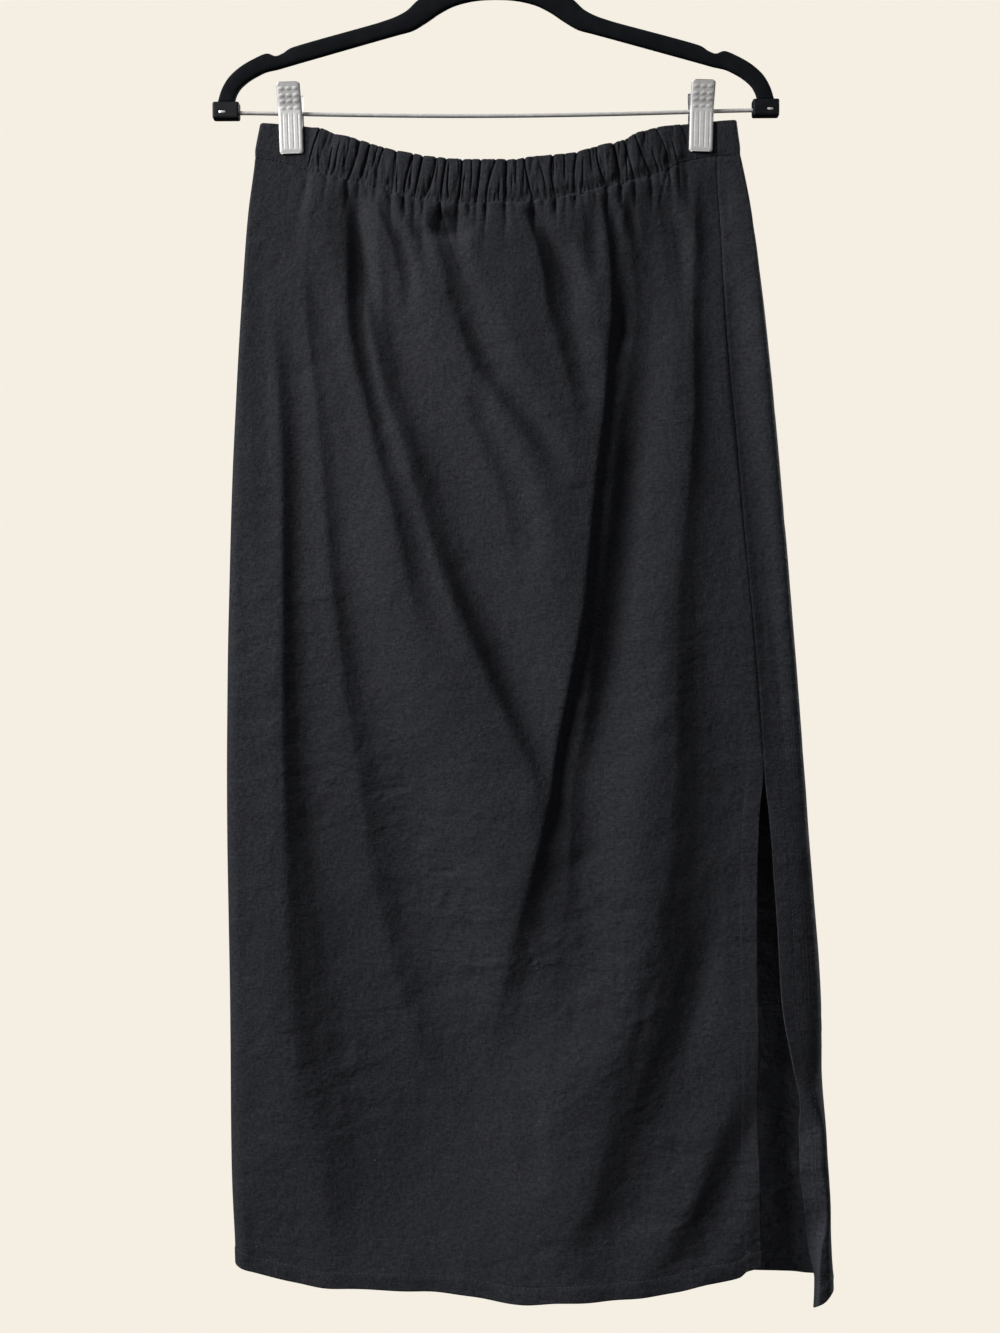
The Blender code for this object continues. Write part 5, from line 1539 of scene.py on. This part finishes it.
def jaw_sheets():
    """Across, up and outwards: the outer and the inner side of a plate with rounded corners and flanges."""
    profile = columns(JAW_COLUMNS, JAW)
    down = np.linspace(profile["z"][0], profile["z"][-1], JAW_ROWS)
    order = np.argsort(profile["z"])
    out = smooth(down, profile["z"][order], profile["y"][order])[:, None]
    across = np.linspace(-1, 1, JAW_ACROSS)
    x, z = np.meshgrid(across * CLIP_WIDTH / 2, down)
    middle_z = (down[0] + down[-1]) / 2
    half_z = (down[0] - down[-1]) / 2
    corner = np.clip(np.abs(z - middle_z) - (half_z - CLIP_CORNER), 0, CLIP_CORNER)
    narrowed = CLIP_WIDTH / 2 - CLIP_CORNER + np.sqrt(CLIP_CORNER**2 - corner**2)
    x = x * narrowed / (CLIP_WIDTH / 2)
    relief = plate_relief(x, z)
    edge = np.abs(across)[None, :] ** JAW_FLANGE_POWER
    outer = out + JAW_WALL / 2 + relief - JAW_FLANGE * edge
    inner = out - JAW_WALL / 2 + relief * JAW_INNER_RELIEF - JAW_FLANGE_INNER * edge
    return x, z, (outer, inner)


def jaw_faces(flip):
    """Faces of a plate: its two sides and the rim between them."""
    count = JAW_ROWS * JAW_ACROSS
    faces = [*grid_faces(JAW_ROWS, JAW_ACROSS, 0, flip)]
    faces += [*grid_faces(JAW_ROWS, JAW_ACROSS, count, not flip)]
    last = JAW_ACROSS - 1
    edge = [(0, j) for j in range(JAW_ACROSS)]
    edge += [(i, last) for i in range(1, JAW_ROWS)]
    edge += [(JAW_ROWS - 1, j) for j in range(last - 1, -1, -1)]
    edge += [(i, 0) for i in range(JAW_ROWS - 2, 0, -1)]
    rim = [i * JAW_ACROSS + j for i, j in edge]
    for a, b in zip(rim, rim[1:] + rim[:1]):
        quad = (a, b, b + count, a + count)
        faces.append(quad if flip else quad[::-1])
    return faces


def make_jaw(name, side, face, material, node):
    """One stamped plate of a clip. face is -1 for the front."""
    x, z, sheets = jaw_sheets()
    points = []
    for sheet in sheets:
        for i in range(JAW_ROWS):
            for j in range(JAW_ACROSS):
                points.append(clip_place(side, x[i, j], face * sheet[i, j], z[i, j]))
    piece = mesh_object(name, points, jaw_faces(face > 0), material)
    finish_piece(piece, "clip_metal", node)


def make_spring(name, side, material, node):
    """The coil round the bar."""
    points = []
    whole = SPRING_TURNS * 2 * math.pi
    for t in np.linspace(0, whole, SPRING_TURNS * SPRING_STEPS):
        x = -SPRING_LENGTH / 2 + SPRING_WIRE + (SPRING_LENGTH - 2 * SPRING_WIRE) * t / whole
        y = SPRING_COIL * math.cos(t)
        z = SPRING_COIL * math.sin(t)
        points.append(clip_place(side, x, y, BAR_AT_CLIP + z))
    tube(name, points, SPRING_WIRE, SPRING_ROUND, material, "clip_metal", node)


def make_clips(material):
    for word, side in (("left", -1), ("right", 1)):
        for part, face in (("front", -1), ("back", 1)):
            node = f"clip_{word}_{part}_jaw"
            make_jaw(f"clip_{word}_{part}_plate", side, face, material, node)
        make_spring(f"clip_{word}_coil", side, material, f"clip_{word}_spring")


# ---------------------------------------------------------------- materials

class Nodes:
    """A material's nodes, added and wired by name."""

    def __init__(self, name):
        self.material = bpy.data.materials.new(name)
        self.material.use_nodes = True
        self.tree = self.material.node_tree
        self.shader = self.tree.nodes["Principled BSDF"]

    def add(self, kind, inputs=None, **settings):
        node = self.tree.nodes.new(kind)
        for name, value in settings.items():
            setattr(node, name, value)
        for name, value in (inputs or {}).items():
            self.set(node, name, value)
        return node

    def set(self, node, name, value):
        socket = node.inputs[name]
        if isinstance(value, bpy.types.NodeSocket):
            self.tree.links.new(value, socket)
        else:
            socket.default_value = value

    def place(self):
        """The place on the object, in metres."""
        return self.add("ShaderNodeTexCoord").outputs["Object"]

    def noise(self, vector, scale, detail, roughness, distortion=0.0):
        """Noise with this many specks to a metre along each axis."""
        stretched = self.add("ShaderNodeMapping", {"Vector": vector, "Scale": scale})
        inputs = {"Vector": stretched.outputs[0], "Scale": 1.0, "Detail": detail}
        inputs.update({"Roughness": roughness, "Distortion": distortion})
        return self.add("ShaderNodeTexNoise", inputs).outputs["Fac"]

    def wave(self, vector, scale, bands):
        inputs = {"Vector": vector, "Scale": scale}
        return self.add("ShaderNodeTexWave", inputs, bands_direction=bands).outputs["Fac"]

    def between(self, value, low, high, to_low=0.0, to_high=1.0):
        """The value stretched from one range to another."""
        inputs = {"Value": value, "From Min": low, "From Max": high, "To Min": to_low, "To Max": to_high}
        return self.add("ShaderNodeMapRange", inputs).outputs[0]

    def sum(self, a, b):
        return self.add("ShaderNodeMath", {0: a, 1: b}, operation="ADD").outputs[0]

    def times(self, a, b):
        return self.add("ShaderNodeMath", {0: a, 1: b}, operation="MULTIPLY").outputs[0]

    def mix(self, factor, a, b):
        return self.add("ShaderNodeMix", {0: factor, 6: a, 7: b}, data_type="RGBA").outputs[2]

    def bump(self, height, distance, strength, over=None):
        """A relief, on its own or over another one's normal."""
        inputs = {"Height": height, "Distance": distance, "Strength": strength}
        if over is not None:
            inputs["Normal"] = over
        return self.add("ShaderNodeBump", inputs).outputs["Normal"]

    def finish(self, **values):
        for name, value in values.items():
            self.set(self.shader, name.replace("_", " "), value)
        return self.material


def linen_colour(n, uv):
    """Uneven yarns both ways with a mottled nap, then its colour with clouds, slubs and lint."""
    weft = n.noise(uv, (170.0, 1150.0, 1.0), 2.0, 0.6)
    warp = n.noise(uv, (1150.0, 150.0, 1.0), 2.0, 0.6)
    nap = n.noise(uv, (330.0, 380.0, 1.0), 3.0, 0.85)
    cloud = n.noise(uv, (38.0, 26.0, 1.0), 4.0, 0.6)
    slub = n.between(n.noise(uv, (60.0, 900.0, 1.0), 1.0, 0.4), 0.70, 0.82)
    lint = n.between(n.noise(uv, (520.0, 560.0, 1.0), 1.0, 0.4), 0.76, 0.84)
    yarn = n.between(n.sum(weft, warp), 0.75, 1.25)
    mottle = n.between(nap, 0.36, 0.64)
    tone = n.sum(n.times(yarn, 0.38), n.times(mottle, 0.62))
    colour = n.mix(tone, (0.0062, 0.0067, 0.0088, 1), (0.0250, 0.0261, 0.0320, 1))
    colour = n.mix(n.times(n.between(cloud, 0.3, 0.7), 0.3), colour, (0.0122, 0.0130, 0.0163, 1))
    colour = n.mix(n.times(slub, 0.30), colour, (0.046, 0.048, 0.056, 1))
    return tone, n.mix(n.times(lint, 0.8), colour, (0.085, 0.088, 0.095, 1))


def linen_relief(n, uv, tone):
    """The weave, soft small crumples over it, and wrinkles that grow down the skirt."""
    weave = n.times(n.sum(n.wave(uv, 400.0, "X"), n.wave(uv, 385.0, "Y")), 0.3)
    fine = n.bump(n.sum(weave, n.times(tone, 1.2)), 0.00035, 0.8)
    soft = n.bump(n.noise(uv, (75.0, 60.0, 1.0), 3.0, 0.55), 0.0030, 0.6, fine)
    high = n.add("ShaderNodeSeparateXYZ", {"Vector": n.place()}).outputs["Z"]
    patches = n.between(n.noise(uv, (7.0, 6.0, 1.0), 2.0, 0.5), 0.38, 0.62, 0.15, 1.0)
    worn = n.times(patches, n.between(high, -0.45, -0.80, 0.4, 1.0))
    across = n.noise(uv, (70.0, 190.0, 1.0), 2.0, 0.5, 0.5)
    broad = n.noise(uv, (30.0, 44.0, 1.0), 2.5, 0.5, 0.5)
    wrinkles = n.times(n.sum(n.times(across, 0.0007), n.times(broad, 0.0052)), worn)
    return n.bump(wrinkles, 1.0, 1.0, soft)


def linen():
    """Charcoal-black linen."""
    n = Nodes("linen")
    uv = n.add("ShaderNodeUVMap", uv_map="cloth").outputs[0]
    tone, colour = linen_colour(n, uv)
    return n.finish(
        Base_Color=colour,
        Roughness=n.between(tone, 0.0, 1.0, 0.97, 0.86),
        Specular_IOR_Level=0.12,
        Sheen_Weight=0.02,
        Sheen_Roughness=0.45,
        Sheen_Tint=(0.72, 0.78, 0.9, 1),
        Normal=linen_relief(n, uv, tone),
    )


def thread():
    """The stitches' yarn, with its twist."""
    n = Nodes("thread")
    twist = n.noise(n.place(), (2600.0, 2600.0, 2600.0), 2.0, 0.5)
    colour = n.mix(twist, (0.010, 0.0108, 0.013, 1), (0.030, 0.0315, 0.036, 1))
    return n.finish(Base_Color=colour, Roughness=0.7, Normal=n.bump(twist, 0.00008, 0.6))


def flock():
    """Black velvet flocking: short fibres that catch light at the edges, rubbed thin in places."""
    n = Nodes("flock")
    place = n.place()
    fibres = n.noise(place, (2400.0, 2400.0, 2400.0), 3.0, 0.7)
    brushed = n.noise(place, (60.0, 60.0, 60.0), 3.0, 0.6)
    colour = n.mix(fibres, (0.0022, 0.0026, 0.0036, 1), (0.0062, 0.0068, 0.0088, 1))
    colour = n.mix(n.between(brushed, 0.42, 0.75, 0.0, 0.5), colour, (0.0078, 0.0084, 0.0104, 1))
    return n.finish(
        Base_Color=colour,
        Roughness=n.between(brushed, 0.3, 0.7, 1.0, 0.85),
        Specular_IOR_Level=0.06,
        Sheen_Weight=0.05,
        Sheen_Roughness=0.3,
        Sheen_Tint=(0.7, 0.76, 0.9, 1),
        Normal=n.bump(n.sum(fibres, n.times(brushed, 0.5)), 0.0003, 0.7),
    )


def plastic():
    """The black moulded ends, with a faint grain."""
    n = Nodes("plastic")
    place = n.place()
    grain = n.noise(place, (1500.0, 1500.0, 1500.0), 2.0, 0.6)
    wear = n.between(n.noise(place, (180.0, 180.0, 180.0), 3.0, 0.6), 0.35, 0.75)
    return n.finish(
        Base_Color=n.mix(wear, (0.0030, 0.0034, 0.0046, 1), (0.0066, 0.0072, 0.0090, 1)),
        Roughness=n.between(grain, 0.3, 0.7, 0.55, 0.7),
        Specular_IOR_Level=0.12,
        Normal=n.bump(grain, 0.00008, 0.5),
    )


def nickel():
    """Satin nickel plate with faint drawing lines and small marks."""
    n = Nodes("nickel")
    place = n.place()
    lines = n.noise(place, (3000.0, 3000.0, 90.0), 2.0, 0.5)
    marks = n.noise(place, (340.0, 340.0, 340.0), 4.0, 0.6)
    return n.finish(
        Base_Color=n.mix(n.between(marks, 0.35, 0.7), (0.44, 0.438, 0.438, 1), (0.50, 0.498, 0.496, 1)),
        Metallic=0.22,
        Roughness=n.between(marks, 0.3, 0.7, 0.54, 0.64),
        Normal=n.bump(lines, 0.00003, 0.35),
    )


def bright_wire():
    """Bright drawn wire, for the hook and the bar."""
    n = Nodes("bright_wire")
    place = n.place()
    drawn = n.noise(place, (60.0, 2500.0, 2500.0), 2.0, 0.5)
    marks = n.noise(place, (260.0, 260.0, 260.0), 3.0, 0.6)
    return n.finish(
        Base_Color=n.mix(n.between(marks, 0.35, 0.7), (0.62, 0.618, 0.61, 1), (0.74, 0.736, 0.73, 1)),
        Metallic=0.4,
        Roughness=n.between(marks, 0.3, 0.7, 0.16, 0.28),
        Normal=n.bump(drawn, 0.00002, 0.3),
    )


# ---------------------------------------------------------------- studio

def make_world():
    """Pale cream behind the object; a dimmer, even light from all round falls on it."""
    world = bpy.data.worlds.new("studio")
    world.use_nodes = True
    tree = world.node_tree
    tree.nodes.clear()
    seen = tree.nodes.new("ShaderNodeBackground")
    seen.inputs["Color"].default_value = (*BACKDROP, 1)
    fill = tree.nodes.new("ShaderNodeBackground")
    fill.inputs["Color"].default_value = (*FILL_COLOUR, 1)
    fill.inputs["Strength"].default_value = FILL_STRENGTH
    path = tree.nodes.new("ShaderNodeLightPath")
    mix = tree.nodes.new("ShaderNodeMixShader")
    out = tree.nodes.new("ShaderNodeOutputWorld")
    tree.links.new(path.outputs["Is Camera Ray"], mix.inputs[0])
    tree.links.new(fill.outputs[0], mix.inputs[1])
    tree.links.new(seen.outputs[0], mix.inputs[2])
    tree.links.new(mix.outputs[0], out.inputs[0])
    bpy.context.scene.world = world


def make_floor():
    """A plain pale floor, well under the hanging object."""
    n = Nodes("floor")
    n.finish(Base_Color=(0.0, 0.0, 0.0, 1), Roughness=1.0, Specular_IOR_Level=0.0)
    n.finish(Emission_Color=(*BACKDROP, 1), Emission_Strength=1.0)
    corners = ((-1, -1), (1, -1), (1, 1), (-1, 1))
    points = [(x * FLOOR_HALF, y * FLOOR_HALF, FLOOR_Z) for x, y in corners]
    floor = mesh_object("floor", points, [(0, 1, 2, 3)], n.material, smooth=False)
    floor.visible_diffuse = False
    floor.visible_glossy = False
    floor.visible_shadow = False


def add_light(name, place, facing, up, power):
    """An area light at a place, which faces a direction."""
    light = bpy.data.lights.new(name, "AREA")
    light.energy = power
    obj = bpy.data.objects.new(name, light)
    obj.location = place
    obj.rotation_euler = facing.to_track_quat("-Z", up).to_euler()
    bpy.context.collection.objects.link(obj)
    return light


def outer_light(name, place, target, size, power, colour):
    """A square light that faces its target."""
    facing = (mathutils.Vector(target) - mathutils.Vector(place)).normalized()
    light = add_light(name, place, facing, "Y", power)
    light.size = size
    light.color = colour


def inner_light():
    """A faint tall light inside the skirt, which shows the hollow behind the slit."""
    light = add_light("inner", INNER_LIGHT, mathutils.Vector(INNER_LIGHT_FACES), "X", INNER_POWER)
    light.shape = "RECTANGLE"
    light.size, light.size_y = INNER_LIGHT_SIZE


def make_camera():
    """At the middle of the garment's height, straight on, turned in its plane by a third of a degree."""
    camera = bpy.data.cameras.new("camera")
    camera.sensor_fit = "VERTICAL"
    camera.angle = 2 * math.atan(HALF_VIEW / -CAMERA_PLACE[1])
    obj = bpy.data.objects.new("camera", camera)
    obj.location = CAMERA_PLACE
    upright = mathutils.Matrix.Rotation(math.radians(90), 3, "X")
    obj.rotation_euler = (upright @ mathutils.Matrix.Rotation(CAMERA_ROLL, 3, "Z")).to_euler()
    bpy.context.collection.objects.link(obj)
    bpy.context.scene.camera = obj


def make_studio():
    bpy.context.scene.view_settings.view_transform = "Standard"
    make_world()
    make_floor()
    for row in LIGHTS:
        outer_light(**dict(zip(LIGHT_COLUMNS, row)))
    inner_light()
    make_camera()


# ---------------------------------------------------------------- the whole

def make_skirt(cloth, yarn):
    front_cloth = Cloth(front_path, -1)
    back_cloth = Cloth(back_path, 1)
    gathers = back_gathers()
    dents = (
        FRONT_DENTS + tuple(crumples(seed=71, count=120)),
        BACK_DENTS + tuple(crumples(seed=72, count=110)),
    )
    front = Look(front_cloth, FRONT_COLUMN_STEPS, FRONT_GATHERS, dents, front_hem_of, seed=11)
    back = Look(back_cloth, BACK_COLUMN_STEPS, gathers, dents, back_hem_of, seed=23)
    front_face = make_panel("front_panel", "skirt_front", front, False, cloth)
    back_face = make_panel("back_panel", "skirt_back", back, True, cloth)
    make_band("front_casing", "waistband_front", front_cloth, FRONT_GATHERS, cloth, seed=31)
    make_band("back_casing", "waistband_back", back_cloth, gathers, cloth, seed=47)
    make_stitches("hem_stitches_front", [row_line(front_face, front, HEM_TURN)], yarn)
    make_stitches("hem_stitches_back", [row_line(back_face, back, HEM_TURN)], yarn)
    slit = [edge_line(front_face, front, FACING), edge_line(back_face, back, FACING)]
    make_stitches("slit_stitches", slit, yarn)


make_skirt(linen(), thread())
make_hanger(flock(), plastic(), bright_wire())
make_clips(nickel())
make_studio()
